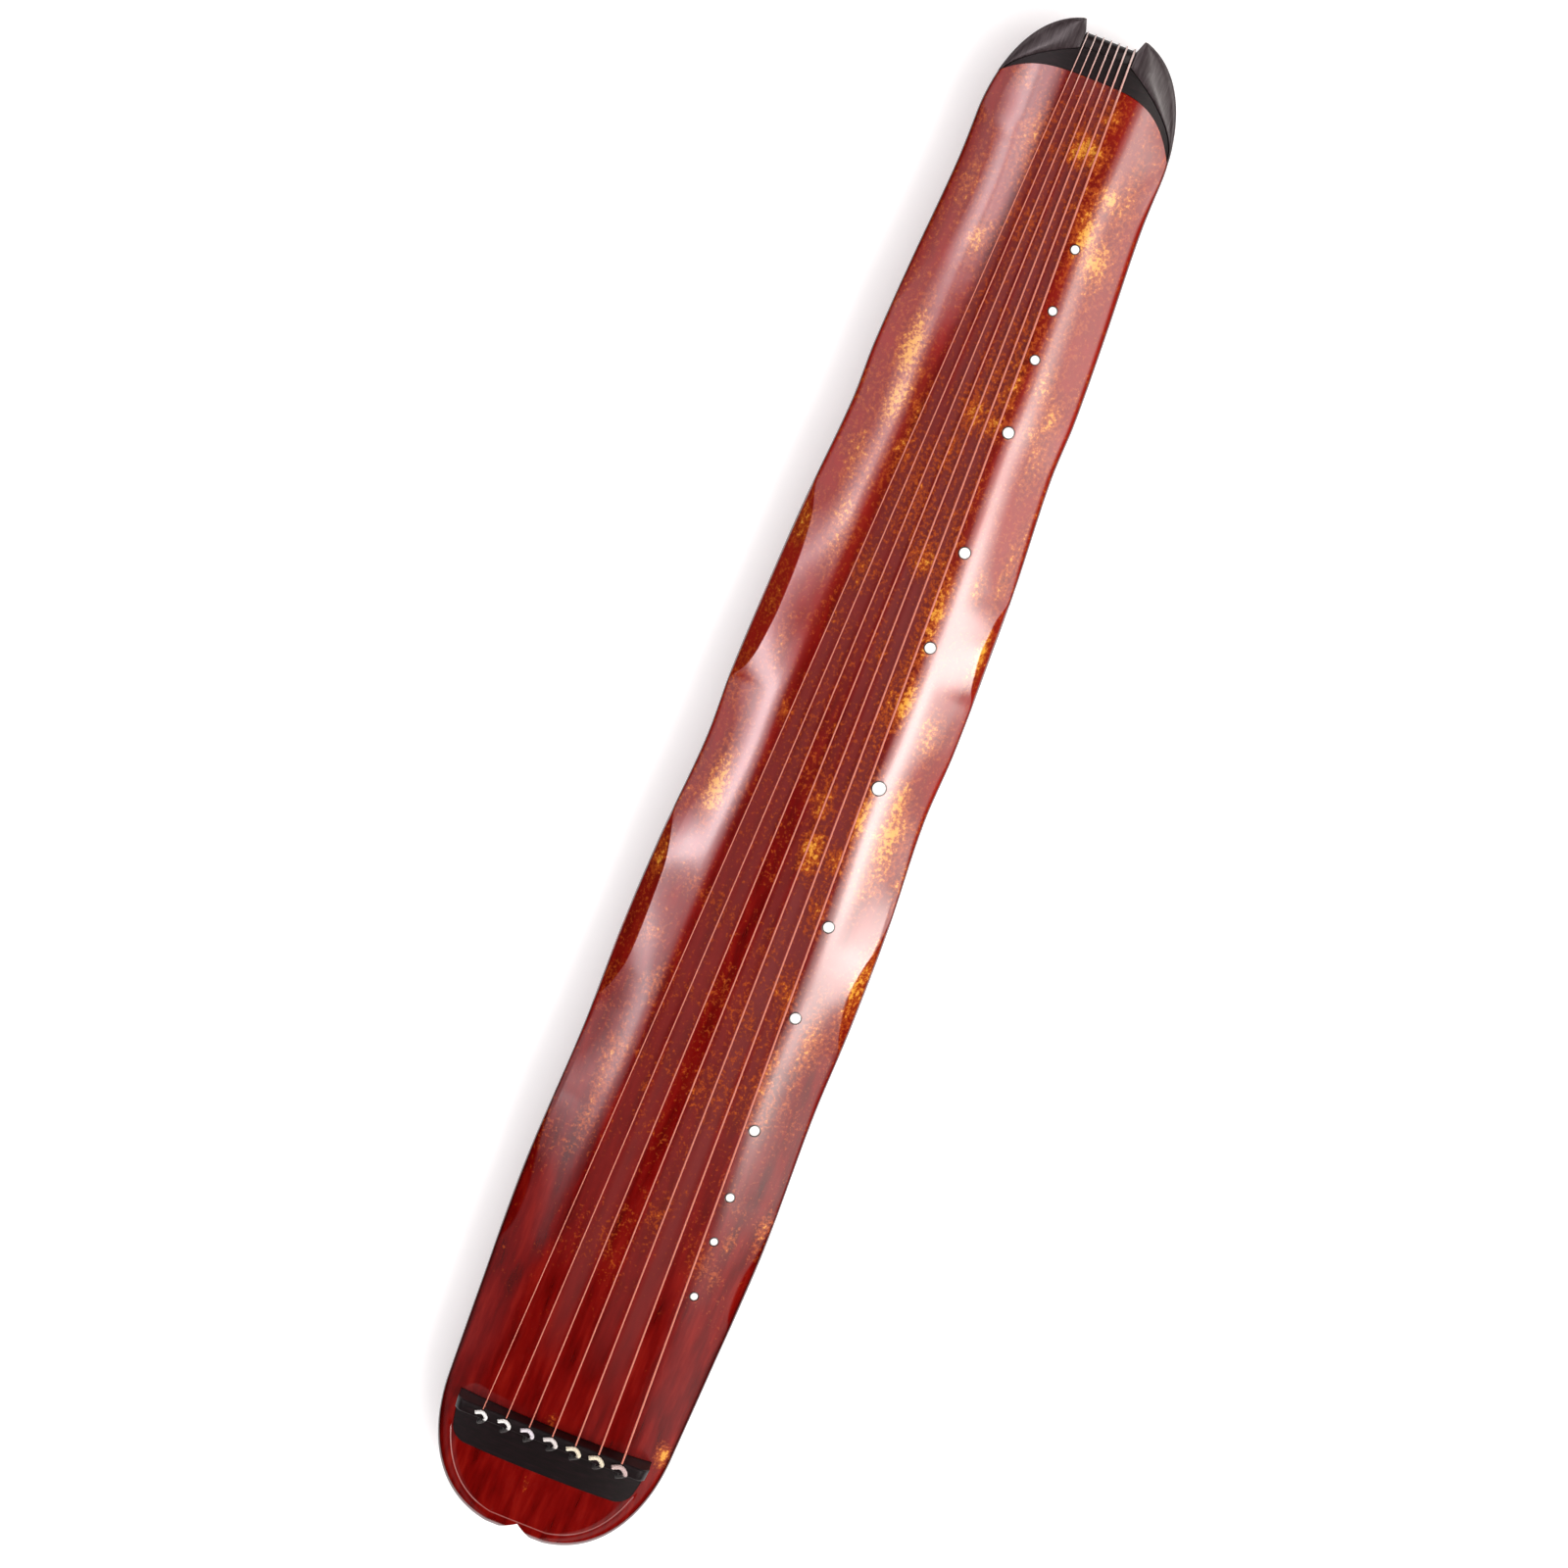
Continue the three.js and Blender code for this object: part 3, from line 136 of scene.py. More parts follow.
# %% Soft boxes in the world
# A direction is given as its run across, or along the guqin, for one of rise
RUN_SPAN = 2
LEAST_RISE = 0.02
CORE_SHARES = [
    (0.3, 0), (0.33, 0.2), (0.365, 0.4), (0.4, 1), (0.45, 1), (0.51, 0.6), (0.58, 0.25), (0.66, 0),
]
WIDE_SHARES = [(0.38, 0), (0.5, 0.6), (0.7, 1), (1.15, 1), (1.5, 0.5), (1.9, 0)]
SOFT_BOXES = [
    # side, radiance, shares across, shares along
    (1, 10, CORE_SHARES, [
        (-1, 0.05), (-0.5, 0.1), (-0.1, 0.28), (-0.03, 0.32), (0, 0.37), (0.03, 0.45), (0.06, 0.58),
        (0.075, 0.74), (0.11, 0.95), (0.14, 1), (0.19, 1), (0.23, 0.78), (0.27, 0.58), (0.3, 0.33),
        (0.32, 0.2), (0.37, 0.06), (0.44, 0.02), (0.5, 0),
    ]),
    (-1, 8, CORE_SHARES, [
        (-1, 0.05), (-0.2, 0.3), (-0.06, 0.62), (-0.02, 0.66), (0.01, 0.3), (0.04, 0.24),
        (0.075, 0.46), (0.11, 0.75), (0.14, 1), (0.17, 1), (0.19, 0.9), (0.23, 0.78), (0.27, 0.55),
        (0.3, 0.34), (0.32, 0.16), (0.37, 0.05), (0.44, 0),
    ]),
    (1, 2.8, WIDE_SHARES, [
        (-1, 0.15), (-0.3, 0.4), (-0.03, 0.75), (0.05, 0.7), (0.12, 1), (0.17, 0.95), (0.19, 0.7),
        (0.23, 0.5), (0.37, 0.42), (0.43, 0.2), (0.6, 0.1),
    ]),
    (-1, 1, WIDE_SHARES, [
        (-1, 0.2), (-0.3, 0.5), (-0.03, 0.8), (0.2, 0.8), (0.32, 0.7), (0.37, 0.6), (0.42, 0.15),
        (0.6, 0.1),
    ]),
    (-1, 4.2, [(0.12, 0), (0.2, 0.6), (0.27, 1), (0.33, 0.8), (0.38, 0)], [
        (-1, 0.05), (-0.2, 0.3), (-0.04, 0.8), (-0.015, 1), (0.01, 0.2), (0.03, 0),
    ]),
]
LIGHT_TINTS = {1: "fff8f4", -1: "fff0f4"}


def light_share(tree, run, shares):
    """Share of the light for a run, read off a table."""
    place = node(tree, "Math", {0: run, 1: 0.5 / RUN_SPAN, 2: 0.5}, operation="MULTIPLY_ADD")
    stops = [(0.5 * at / RUN_SPAN + 0.5, share) for at, share in shares]
    return node(tree, "ValToRGB", {"Fac": place}, stops=stops)


world = bpy.data.worlds.new("studio")
world.use_nodes = True
sky = world.node_tree
sky.nodes.clear()
ray = node(sky, "TexCoord", out="Generated")
x, y, z = node(sky, "SeparateXYZ", {0: ray}, None).outputs
rise = node(sky, "Math", {0: z, 1: LEAST_RISE}, operation="MAXIMUM")
run_along = node(sky, "Math", {0: x, 1: rise}, operation="DIVIDE")
image = 0
for side, radiance, across_shares, along_shares in SOFT_BOXES:
    outward = node(sky, "Math", {0: y, 1: side}, operation="MULTIPLY")
    run_across = node(sky, "Math", {0: outward, 1: rise}, operation="DIVIDE")
    across = light_share(sky, run_across, across_shares)
    lengthwise = light_share(sky, run_along, along_shares)
    box = node(sky, "Math", {0: across, 1: lengthwise}, operation="MULTIPLY")
    image = node(sky, "Math", {0: box, 1: radiance, 2: image}, operation="MULTIPLY_ADD")
below_level = node(sky, "Math", {0: z, 1: LEAST_RISE}, operation="LESS_THAN")
camera_ray = node(sky, "LightPath", out="Is Camera Ray")
white = node(sky, "Math", {0: below_level, 1: camera_ray}, operation="MAXIMUM")
strength = node(sky, "Mix", {0: white, 2: image, 3: 1})
outer = node(sky, "Math", {0: y, 1: 0}, operation="GREATER_THAN")
colour = layered(sky, srgb(LIGHT_TINTS[-1]), (outer, LIGHT_TINTS[1]), (white, "ffffff"))
glow = node(sky, "Background", {"Color": colour, "Strength": strength})
node(sky, "OutputWorld", {"Surface": glow}, None)
bpy.context.scene.world = world
bpy.context.scene.view_settings.view_transform = "Standard"

# %% [markdown]
# ## Floor
# A white sheet of paper. Part of its white is its own glow, seen only by the
# camera and in reflections, which leaves a soft shadow beside the guqin.

# %% Floor
FLOOR_HALF = 4
PAPER_GLOW = 0.42

paper = bpy.data.materials.new("white_paper")
paper.use_nodes = True
tree = paper.node_tree
tree.nodes.clear()
path = node(tree, "LightPath", out=None).outputs
rays = {0: path["Is Camera Ray"], 1: path["Is Glossy Ray"]}
seen = node(tree, "Math", rays, operation="MAXIMUM")
glow = node(tree, "Math", {0: seen, 1: PAPER_GLOW}, operation="MULTIPLY")
sheen = node(tree, "Emission", {"Color": srgb("ffffff"), "Strength": glow})
matt = node(tree, "BsdfDiffuse", {"Color": srgb("e6e6e6")})
both = node(tree, "AddShader", {0: sheen, 1: matt})
node(tree, "OutputMaterial", {"Surface": both}, None)

floor_mesh = bpy.data.meshes.new("floor")
corners = [(-1, -1, 0), (1, -1, 0), (1, 1, 0), (-1, 1, 0)]
floor_mesh.from_pydata([[FLOOR_HALF * c for c in corner] for corner in corners], [], [(0, 1, 2, 3)])
floor_mesh.materials.append(paper)
floor = bpy.data.objects.new("floor", floor_mesh)
bpy.context.scene.collection.objects.link(floor)

# %% [markdown]
# ## Sizes
# The outline, the places and the main lengths, in millimetres, are those of the
# CAD solids, so that each fine piece lies over its own. The carving differs: the
# folds have creases of their own, and the rim is shallower along the sides. The
# arms of a knot lie up to 3 mm beside those of the solid.

# %% Lengths and heights
STRING_LENGTH = 1120
HEAD_LENGTH = 96
TAIL_LENGTH = 14
HEAD_ROUND_LENGTH = 110
TAIL_ROUND_LENGTH = 90
SHOULDER_WIDTH = 196
TAIL_WIDTH = 143
FOOT_HEIGHT = 26
BOTTOM_THICKNESS = 8.7
BODY_DEPTH = 48
ARCH_DROP = 14.5
GAP = 0.3
OVERRUN = 12

RIM_WIDTH = 5
RIM_DROP = 0.8
HEAD_RIM_WIDTH = 13
HEAD_RIM_DROP = 5.5
EDGE_ROUND = 2.2
SIDE_TUCK = 1
BOTTOM_CHAMFER = 2.5
STRING_COUNT = 7
BRIDGE_SPACING = 19.1
NUT_SPACING = 5.95

X_HEAD = (HEAD_LENGTH + STRING_LENGTH + TAIL_LENGTH) / 2
X_TAIL = -X_HEAD
X_BRIDGE = X_HEAD - HEAD_LENGTH
X_NUT = X_BRIDGE - STRING_LENGTH
NUT_ROUND = 5.6
NUT_THICKNESS = 10.6
X_END = X_NUT - NUT_ROUND
X_NUT_FOOT = X_END + NUT_THICKNESS
BRIDGE_THICKNESS = 10
PLATE_LENGTH = 30
X_BRIDGE_BACK = X_BRIDGE + BRIDGE_THICKNESS
X_PLATE_END = X_BRIDGE_BACK + PLATE_LENGTH
CORD_HOLE_SET_BACK = 5.5
X_CORD_HOLE = X_BRIDGE_BACK + CORD_HOLE_SET_BACK
FOOT_PLACE_SHARE = 0.708
X_FOOT = X_BRIDGE - FOOT_PLACE_SHARE * STRING_LENGTH

INLAY_FLOOR = 9
POOL_DEPTH = 15
Z_BOTTOM_TOP = FOOT_HEIGHT + BOTTOM_THICKNESS
Z_SEAM = Z_BOTTOM_TOP + GAP
Z_INLAY = Z_SEAM + INLAY_FLOOR
Z_POOL_ROOF = FOOT_HEIGHT + POOL_DEPTH
Z_ABOVE = FOOT_HEIGHT + BODY_DEPTH + OVERRUN

# %% Tables of shares
WIDTH_SHARES = [
    (0.01, 0.81), (0.071, 0.894), (0.164, 1), (0.271, 0.864), (0.343, 0.894),
    (0.41, 0.819), (0.486, 0.619), (0.539, 0.66), (0.615, 0.577), (0.66, 0.494),
    (0.731, 0.291), (0.771, 0.302), (0.829, 0.192), (0.901, 0.011), (0.946, 0.011), (1, 0),
]
CROWN_SHARES = [
    (-0.086, 0.79), (0, 0.885), (0.06, 0.927), (0.125, 0.969),
    (0.25, 1), (0.5, 0.979), (0.75, 0.958), (1, 0.917),
]
ARCH_SHARES = [(-0.086, 0.6), (0, 0.8), (0.15, 1), (0.8, 1), (1, 0.85)]
HEAD_BLUNT_SHARE = 1.0136
TAIL_BLUNT_SHARE = 1.033
HEAD_CURVE_SHARE = 2.2
TAIL_CURVE_SHARE = 2.1
END_CURVE_SHARE = 2.6
ARCH_CURVE_SHARE = 2.6
SLOPE_STEP_SHARE = 0.0005

# %% [markdown]
# ## Form of the body
# The plan is a leaf with wavy margins, the top is a shallow arch, and folds
# are carved along the margin. Each is a curve through a short table. A fold
# runs down from a crease, and the wood swells up a little towards the crease:
# that flat part is what catches the light.

# %% Curves of the body


def ease(table, at):
    """Smooth curve through a table of places and values."""
    places, values = np.array(table, float).T
    last = len(places) - 1
    at = np.clip(at, places[0], places[last])
    i = np.clip(np.searchsorted(places, at, side="right") - 1, 0, last - 1)
    before = np.maximum(i - 1, 0)
    after = np.minimum(i + 2, last)
    span = places[i + 1] - places[i]
    t = (at - places[i]) / span
    leave = (values[i + 1] - values[before]) / (places[i + 1] - places[before]) * span
    arrive = (values[after] - values[i]) / (places[after] - places[i]) * span
    rise = (values[i + 1] - values[i]) * (3 - 2 * t) * t * t
    return values[i] + rise + (t - 1) ** 2 * t * leave + (t - 1) * t * t * arrive


def between(a, b, share):
    return a + (b - a) * share


def share_at(x):
    return (X_BRIDGE - x) / STRING_LENGTH


def along(share):
    return X_BRIDGE - share * STRING_LENGTH


def body_half(x):
    return between(TAIL_WIDTH, SHOULDER_WIDTH, ease(WIDTH_SHARES, share_at(x))) / 2


def end_round(distance, length, blunt, curve):
    t = np.clip(distance / (length * blunt), 0, 1)
    return (1 - t ** curve) ** (1 / END_CURVE_SHARE)


def outline(x):
    """Half the width of the body in plan."""
    head = end_round(
        x - (X_HEAD - HEAD_ROUND_LENGTH), HEAD_ROUND_LENGTH, HEAD_BLUNT_SHARE, HEAD_CURVE_SHARE,
    )
    tail = end_round(
        X_TAIL + TAIL_ROUND_LENGTH - x, TAIL_ROUND_LENGTH, TAIL_BLUNT_SHARE, TAIL_CURVE_SHARE,
    )
    return body_half(x) * head * tail


def facing(x):
    """How squarely the outline faces sideways, from 1 down to 0."""
    step = SLOPE_STEP_SHARE * STRING_LENGTH
    low = np.clip(x - step, X_TAIL, X_HEAD)
    high = np.clip(x + step, X_TAIL, X_HEAD)
    return 1 / np.hypot(1, (outline(high) - outline(low)) / (high - low))


def head_nearness(x):
    return np.clip(1 - (X_HEAD - x) / HEAD_ROUND_LENGTH, 0, 1)


def rim_width(x):
    return between(RIM_WIDTH, HEAD_RIM_WIDTH, head_nearness(x))


def rim_drop(x):
    return between(RIM_DROP, HEAD_RIM_DROP, head_nearness(x))


def crown(x):
    return FOOT_HEIGHT + BODY_DEPTH * ease(CROWN_SHARES, share_at(x))


def level(x, y, inset):
    """Height of the top at a place that lies inset from the outline."""
    reach = np.clip(np.abs(y) / body_half(x), 0, 1)
    arch = ARCH_DROP * ease(ARCH_SHARES, share_at(x)) * reach ** ARCH_CURVE_SHARE
    rim = np.clip(1 - inset / rim_width(x), 0, 1)
    return crown(x) - arch - rim_drop(x) * rim * rim


def surface(x, y):
    return level(x, y, (outline(x) - np.abs(y)) * facing(x))


FOLD_CREASES = [
    # side, softness of the crease in mm, slope, then share along and inset in mm
    (1, 4, 0.46, [(0.104, 0), (0.116, 6), (0.132, 8.5), (0.15, 8), (0.165, 5), (0.2, 0)]),
    (1, 3, 0.46, [
        (0.314, 0), (0.327, 6), (0.337, 9), (0.351, 11.5), (0.366, 11), (0.382, 8), (0.395, 4.5),
        (0.425, 0),
    ]),
    (1, 1, 0.46, [
        (0.572, 0), (0.581, 5), (0.593, 7), (0.608, 8.5), (0.62, 7.5), (0.635, 5.5), (0.646, 0),
    ]),
    (-1, 4, 0.46, [
        (0.104, 0), (0.12, 8), (0.135, 11), (0.153, 11), (0.17, 8.5), (0.19, 4.5), (0.225, 0),
    ]),
    (-1, 0.6, 0.46, [
        (0.292, 0), (0.3, 4.7), (0.308, 8.8), (0.316, 11.5), (0.324, 13.5), (0.343, 14.6),
        (0.37, 14.2), (0.393, 13), (0.405, 11), (0.42, 6.6), (0.438, 0),
    ]),
    (-1, 0.6, 0.46, [
        (0.532, 0), (0.535, 3.8), (0.539, 7), (0.543, 9.2), (0.55, 11.4), (0.558, 13), (0.581, 15.3),
        (0.597, 15.4), (0.624, 14.2), (0.643, 12), (0.655, 9.5), (0.664, 6), (0.676, 0),
    ]),
    (-1, 2, 0.1, [
        (0.792, 0), (0.808, 6), (0.827, 12), (0.843, 17), (0.866, 20), (0.9, 20), (0.925, 17),
        (0.945, 0),
    ]),
]
SWELL_WIDTH = 28
SWELL_RISES = {
    # share along and height in mm
    1: [
        (0.1, 0), (0.15, 0.5), (0.2, 1.8), (0.24, 1.2), (0.28, 0.6), (0.33, 1.2), (0.42, 2.6),
        (0.46, 0.8), (0.5, 0.3), (0.54, 1.6), (0.6, 2.6), (0.645, 2), (0.68, 0.3), (0.8, 0.3),
        (0.9, 0.2), (0.945, 2.8), (0.975, 0.5),
    ],
    -1: [
        (-0.04, 0), (0.015, 1.2), (0.06, 0.2), (0.15, 0.3), (0.22, 2), (0.28, 0.7), (0.34, 1.4),
        (0.4, 2.2), (0.48, 0.6), (0.53, 1.6), (0.58, 2.2),
        (0.63, 1.8), (0.68, 0.5), (0.75, 0.3), (0.79, 0.8), (0.83, 0.2), (0.92, 0.2), (0.95, 1.3),
        (0.975, 0.4),
    ],
}


def crease_at(x, side):
    """How far the crease of a fold lies in from the margin, its softness and slope."""
    s = share_at(x)
    inset = np.zeros_like(s)
    softness = np.ones_like(s)
    slope = np.zeros_like(s)
    for fold_side, fold_softness, fold_slope, crease in FOLD_CREASES:
        here = np.where(side == fold_side, np.maximum(ease(crease, s), 0), 0)
        softness = np.where(here > inset, fold_softness, softness)
        slope = np.where(here > inset, fold_slope, slope)
        inset = np.maximum(inset, here)
    return inset, softness, slope


def swell_at(x, side):
    """Height by which the margin swells up beside the folds."""
    s = share_at(x)
    return np.where(side > 0, ease(SWELL_RISES[1], s), ease(SWELL_RISES[-1], s))


print("top of the board", float(crown(along(0.25))), "mm")

# %% [markdown]
# ## Mesh tools
# Most pieces are skins over a row of rings: a turned piece, a swept tube and an
# upright prism come from the same few helpers. A carved piece is a skin less
# its cutters.

# %% Solids from rings
SAME_POINT = 0.001 * MM


def solid(name, points, faces):
    """Closed mesh from points in millimetres, with its faces pointing out."""
    mesh = bpy.data.meshes.new(name)
    mesh.from_pydata((np.asarray(points, float).reshape(-1, 3) * MM).tolist(), [], faces)
    shape = bmesh.new()
    shape.from_mesh(mesh)
    bmesh.ops.remove_doubles(shape, verts=shape.verts, dist=SAME_POINT)
    bmesh.ops.recalc_face_normals(shape, faces=shape.faces)
    shape.to_mesh(mesh)
    shape.free()
    made = bpy.data.objects.new(name, mesh)
    bpy.context.scene.collection.objects.link(made)
    return made


def side_faces(rows, count, start=0):
    """Faces between rings of points."""
    faces = []
    for row in range(rows - 1):
        here = start + row * count
        for i in range(count):
            j = (i + 1) % count
            faces.append((here + i, here + j, here + count + j, here + count + i))
    return faces


def skin_faces(rows, count, start=0):
    """Faces over rings of points, closed at both ends by strips."""
    faces = side_faces(rows, count, start)
    for base in (start, start + (rows - 1) * count):
        for i in range((count - 1) // 2):
            corners = (base + i, base + i + 1, base + count - 2 - i, base + count - 1 - i)
            faces.append(tuple(dict.fromkeys(corners)))
    return faces


def skin(name, rings):
    rings = np.asarray(rings, float)
    return solid(name, rings, skin_faces(*rings.shape[:2]))


def loft(name, rings):
    """Solid over rings whose first and last are flat ends."""
    rings = np.asarray(rings, float)
    rows, count = rings.shape[:2]
    ends = [tuple(range(count)), tuple(range((rows - 1) * count, rows * count))]
    return solid(name, rings, side_faces(rows, count) + ends)


def prism(name, plan, low, high):
    """Upright prism over a plan."""
    return loft(name, [[(x, y, z) for x, y in plan] for z in (low, high)])


def arc(x, y, radius, first, last, steps):
    """Points on an arc, in degrees, both ends included."""
    angles = np.radians(np.linspace(first, last, steps + 1))
    return [(x + radius * math.cos(a), y + radius * math.sin(a)) for a in angles]


def circle(x, y, radius, sides):
    return arc(x, y, radius, 0, 360, sides)[:sides]


def rounding(radius, steps):
    """A rounded edge, as pairs of how far in and how far down each point lies."""
    angles = np.linspace(0, math.pi / 2, steps + 1)
    return [(radius * (1 - math.sin(a)), radius * (1 - math.cos(a))) for a in angles]


def turned(name, profile, x, y, sides):
    """Lathe-turned solid from a profile of radii and heights."""
    rings = [
        [(x + px, y + py, z) for px, py in circle(0, 0, radius, sides)] for radius, z in profile
    ]
    return skin(name, rings)


SOFT_STEPS = 4


def soften(points, radius):
    """Rounds the inner corners of a row of points in a plane."""
    points = [np.array(p, float) for p in points]
    made = [points[0]]
    for before, corner, after in zip(points, points[1:], points[2:]):
        to_last, to_next = before - corner, after - corner
        reach = min(radius, np.linalg.norm(to_last) / 2, np.linalg.norm(to_next) / 2)
        a = corner + to_last * reach / np.linalg.norm(to_last)
        b = corner + to_next * reach / np.linalg.norm(to_next)
        for t in np.linspace(0, 1, SOFT_STEPS + 1):
            made.append((1 - t) ** 2 * a + 2 * t * (1 - t) * corner + t * t * b)
    return [tuple(p) for p in [*made, points[-1]]]


def carve(piece, tools, operation="DIFFERENCE"):
    """Takes the tools away from a piece, or keeps what it shares with one."""
    for tool in tools:
        step = piece.modifiers.new("carve", "BOOLEAN")
        step.operation = operation
        step.solver = "MANIFOLD"
        step.object = tool
    ready = piece.evaluated_get(bpy.context.evaluated_depsgraph_get())
    carved = bpy.data.meshes.new_from_object(ready)
    piece.modifiers.clear()
    piece.data = carved
    for tool in tools:
        bpy.data.objects.remove(tool)
    return piece


def places_of(items, key="co"):
    """Places of points, or the centres of faces, in millimetres."""
    flat = np.zeros(3 * len(items))
    items.foreach_get(key, flat)
    return flat.reshape(-1, 3) / MM


def mark(mesh, **values):
    """Stores values on its points, for its finish to read."""
    for name, value in values.items():
        mesh.attributes.new(name, "FLOAT", "POINT").data.foreach_set("value", value)


SHARP_ANGLE = 35
CORD_SHARP_ANGLE = 60


def dress(piece, material, nodes, body="body", sharp=SHARP_ANGLE):
    """Gives a piece its finish, its smooth shading and its place in the frame."""
    mesh = piece.data
    if not any(mesh.materials):
        mesh.materials.clear()
        mesh.materials.append(material)
    mesh.shade_smooth()
    mesh.set_sharp_from_angle(angle=math.radians(sharp))
    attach(piece, body)
    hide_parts(*nodes)
    print(piece.name, len(mesh.polygons), "faces")
    return piece


# %% Tubes and cords
STEEP = 0.7
PLIES = 3
PLY_SIDES = 7


def frames(path):
    """Points, directions and two crosswise directions along a path."""
    points = np.asarray(path, float)
    step = np.diff(points, axis=0)
    step /= np.linalg.norm(step, axis=1, keepdims=True)
    tangent = np.vstack([step[:1], step[1:] + step[:-1], step[-1:]])
    tangent /= np.linalg.norm(tangent, axis=1, keepdims=True)
    across = np.array([1.0, 0, 0]) if abs(tangent[0][2]) > STEEP else np.array([0, 0, 1.0])
    first = []
    for direction in tangent:
        across = across - direction * across.dot(direction)
        across /= np.linalg.norm(across)
        first.append(across)
    first = np.array(first)
    return points, tangent, first, np.cross(tangent, first)


def run_of(path):
    """Distance along a path at each of its points."""
    steps = np.linalg.norm(np.diff(np.asarray(path, float), axis=0), axis=1)
    return np.concatenate([[0], np.cumsum(steps)])


def smooth_path(path, step):
    """The same route as one smooth curve, with points a step apart."""
    points = np.asarray(path, float)
    run = run_of(points)
    at = np.linspace(0, run[-1], max(2, round(run[-1] / step)) + 1)
    return np.column_stack([ease(list(zip(run, axis)), at) for axis in points.T])


def spokes(angles, first, second):
    """Directions at angles round a path, from its two crosswise ones."""
    return np.cos(angles)[..., None] * first + np.sin(angles)[..., None] * second


def tube_rings(path, radius, sides):
    points, _, first, second = frames(path)
    angles = np.linspace(0, 2 * math.pi, sides, endpoint=False)
    radius = np.broadcast_to(radius, len(points))[:, None, None]
    return points[:, None] + radius * spokes(angles[None], first[:, None], second[:, None])


def twisted_cord(name, path, radius, pitch):
    """Plies twisted round each other along a path."""
    points, _, first, second = frames(path)
    radius = np.broadcast_to(radius, len(points)).astype(float)
    thin = math.sin(math.pi / PLIES) / (1 + math.sin(math.pi / PLIES))
    faces, rings = [], []
    for ply in range(PLIES):
        angle = 2 * math.pi * (run_of(points) / pitch + ply / PLIES)
        centre = points + spokes(angle, first, second) * (radius * (1 - thin))[:, None]
        ring = tube_rings(centre, radius * thin, PLY_SIDES)
        faces += skin_faces(*ring.shape[:2], start=ply * len(points) * PLY_SIDES)
        rings.append(ring)
    return solid(name, rings, faces)


# %% [markdown]
# ## Finishes
# The lacquer is tree lacquer over a ground of crushed deer horn: it is laid on
# in many coats, each one rubbed down, so that the layers below show through as
# a fine speckle and as clouds of gold and orange in a deep red. It is hard and
# polished, so its gloss is a thin clear coat. The points of a board carry how
# much gold and brown shows there and how light the red is, and two marks of
# painted light: shade painted dark along the edge, and a pale highlight painted
# in the groove of the head.

# %% Lacquer
SPECKLE = 3 * MM
CLOUD = 45 * MM
STREAK = 9 * MM
STREAK_STRETCH_SHARE = 0.16
LACQUER_BUMP = 0.04 * MM
BRUSH_WAVE = 26 * MM
SPECKLE_RELIEF_SHARE = 0.12
FLECK_DENSITY_SHARE = 0.62


def finish(name):
    """A new material, its node tree and its shader."""
    material = bpy.data.materials.new(name)
    material.use_nodes = True
    return material, material.node_tree, material.node_tree.nodes["Principled BSDF"]


def rubbed_lacquer():
    material, tree, shader = finish("rubbed_lacquer")
    spot = node(tree, "TexCoord", out="Object")
    drawn = node(tree, "Mapping", {"Vector": spot, "Scale": (STREAK_STRETCH_SHARE, 1, 1)})
    cloud = node(tree, "TexNoise", {
        "Vector": spot, "Scale": 1 / CLOUD, "Detail": 4, "Roughness": 0.6, "Distortion": 0.5,
    })
    streak = node(tree, "TexNoise", {
        "Vector": drawn, "Scale": 1 / STREAK, "Detail": 3, "Roughness": 0.6,
    })
    speck = node(tree, "TexNoise", {
        "Vector": spot, "Scale": 1 / SPECKLE, "Detail": 2, "Roughness": 0.7,
    })
    wave = node(tree, "TexNoise", {"Vector": spot, "Scale": 1 / BRUSH_WAVE, "Detail": 2})
    gold, brown, light, edge, worn = (
        node(tree, "Attribute", out="Fac", attribute_name=name)
        for name in ("gold", "brown", "light", "edge", "worn")
    )
    rich = node(tree, "MapRange", {
        "Value": cloud, "From Min": 0.35, "From Max": 0.7, "To Min": -0.1, "To Max": 0.3,
    }, clamp=False)
    grain = node(tree, "MapRange", {
        "Value": speck, "From Min": 0.3, "From Max": 0.7, "To Max": 0.55,
    }, clamp=False)
    density = node(tree, "Math", {0: gold, 1: rich}, operation="ADD")
    reach = node(tree, "Math", {0: density, 1: FLECK_DENSITY_SHARE, 2: grain}, operation="MULTIPLY_ADD")
    fleck = node(tree, "MapRange", {
        "Value": reach, "From Min": 0.38, "From Max": 0.72, "To Max": 0.9,
    })
    bright = node(tree, "MapRange", {"Value": reach, "From Min": 0.68, "From Max": 0.92})
    reds = [(0.3, "520403"), (0.5, "6f0806"), (0.72, "86160e")]
    red = node(tree, "ValToRGB", {"Fac": streak}, stops=reds)
    # Two of these coats are painted light: the dark along the edge is painted shade, and the pale line
    # in the head's groove is a painted highlight.
    colour = layered(
        tree, red, (light, "b02a1e"), (brown, "7a3432"), (density, "5e2110"), (fleck, "b8501c"),
        (bright, "e6a23c"), (edge, "330606"), (worn, "a8655f"),
    )
    relief = node(tree, "Math", {0: speck, 1: SPECKLE_RELIEF_SHARE, 2: wave}, operation="MULTIPLY_ADD")
    bump = node(tree, "Bump", {"Height": relief, "Strength": 1, "Distance": LACQUER_BUMP})
    set_up(tree, shader, {
        "Base Color": colour, "Normal": bump, "Coat Normal": bump,
        "Roughness": 0.1, "IOR": 1.55, "Coat Weight": 1, "Coat Roughness": 0.04, "Coat IOR": 1.55,
    })
    return material


lacquer = rubbed_lacquer()

# %% [markdown]
# The dark fittings are rosewood, scraped, oiled and polished. What shows is a
# near-black brown with fine streaks along the grain and a soft shine.

# %% Woods
GRAIN = 1.4 * MM
FIR_GRAIN = 2.6 * MM
GRAIN_RELIEF = 0.03 * MM


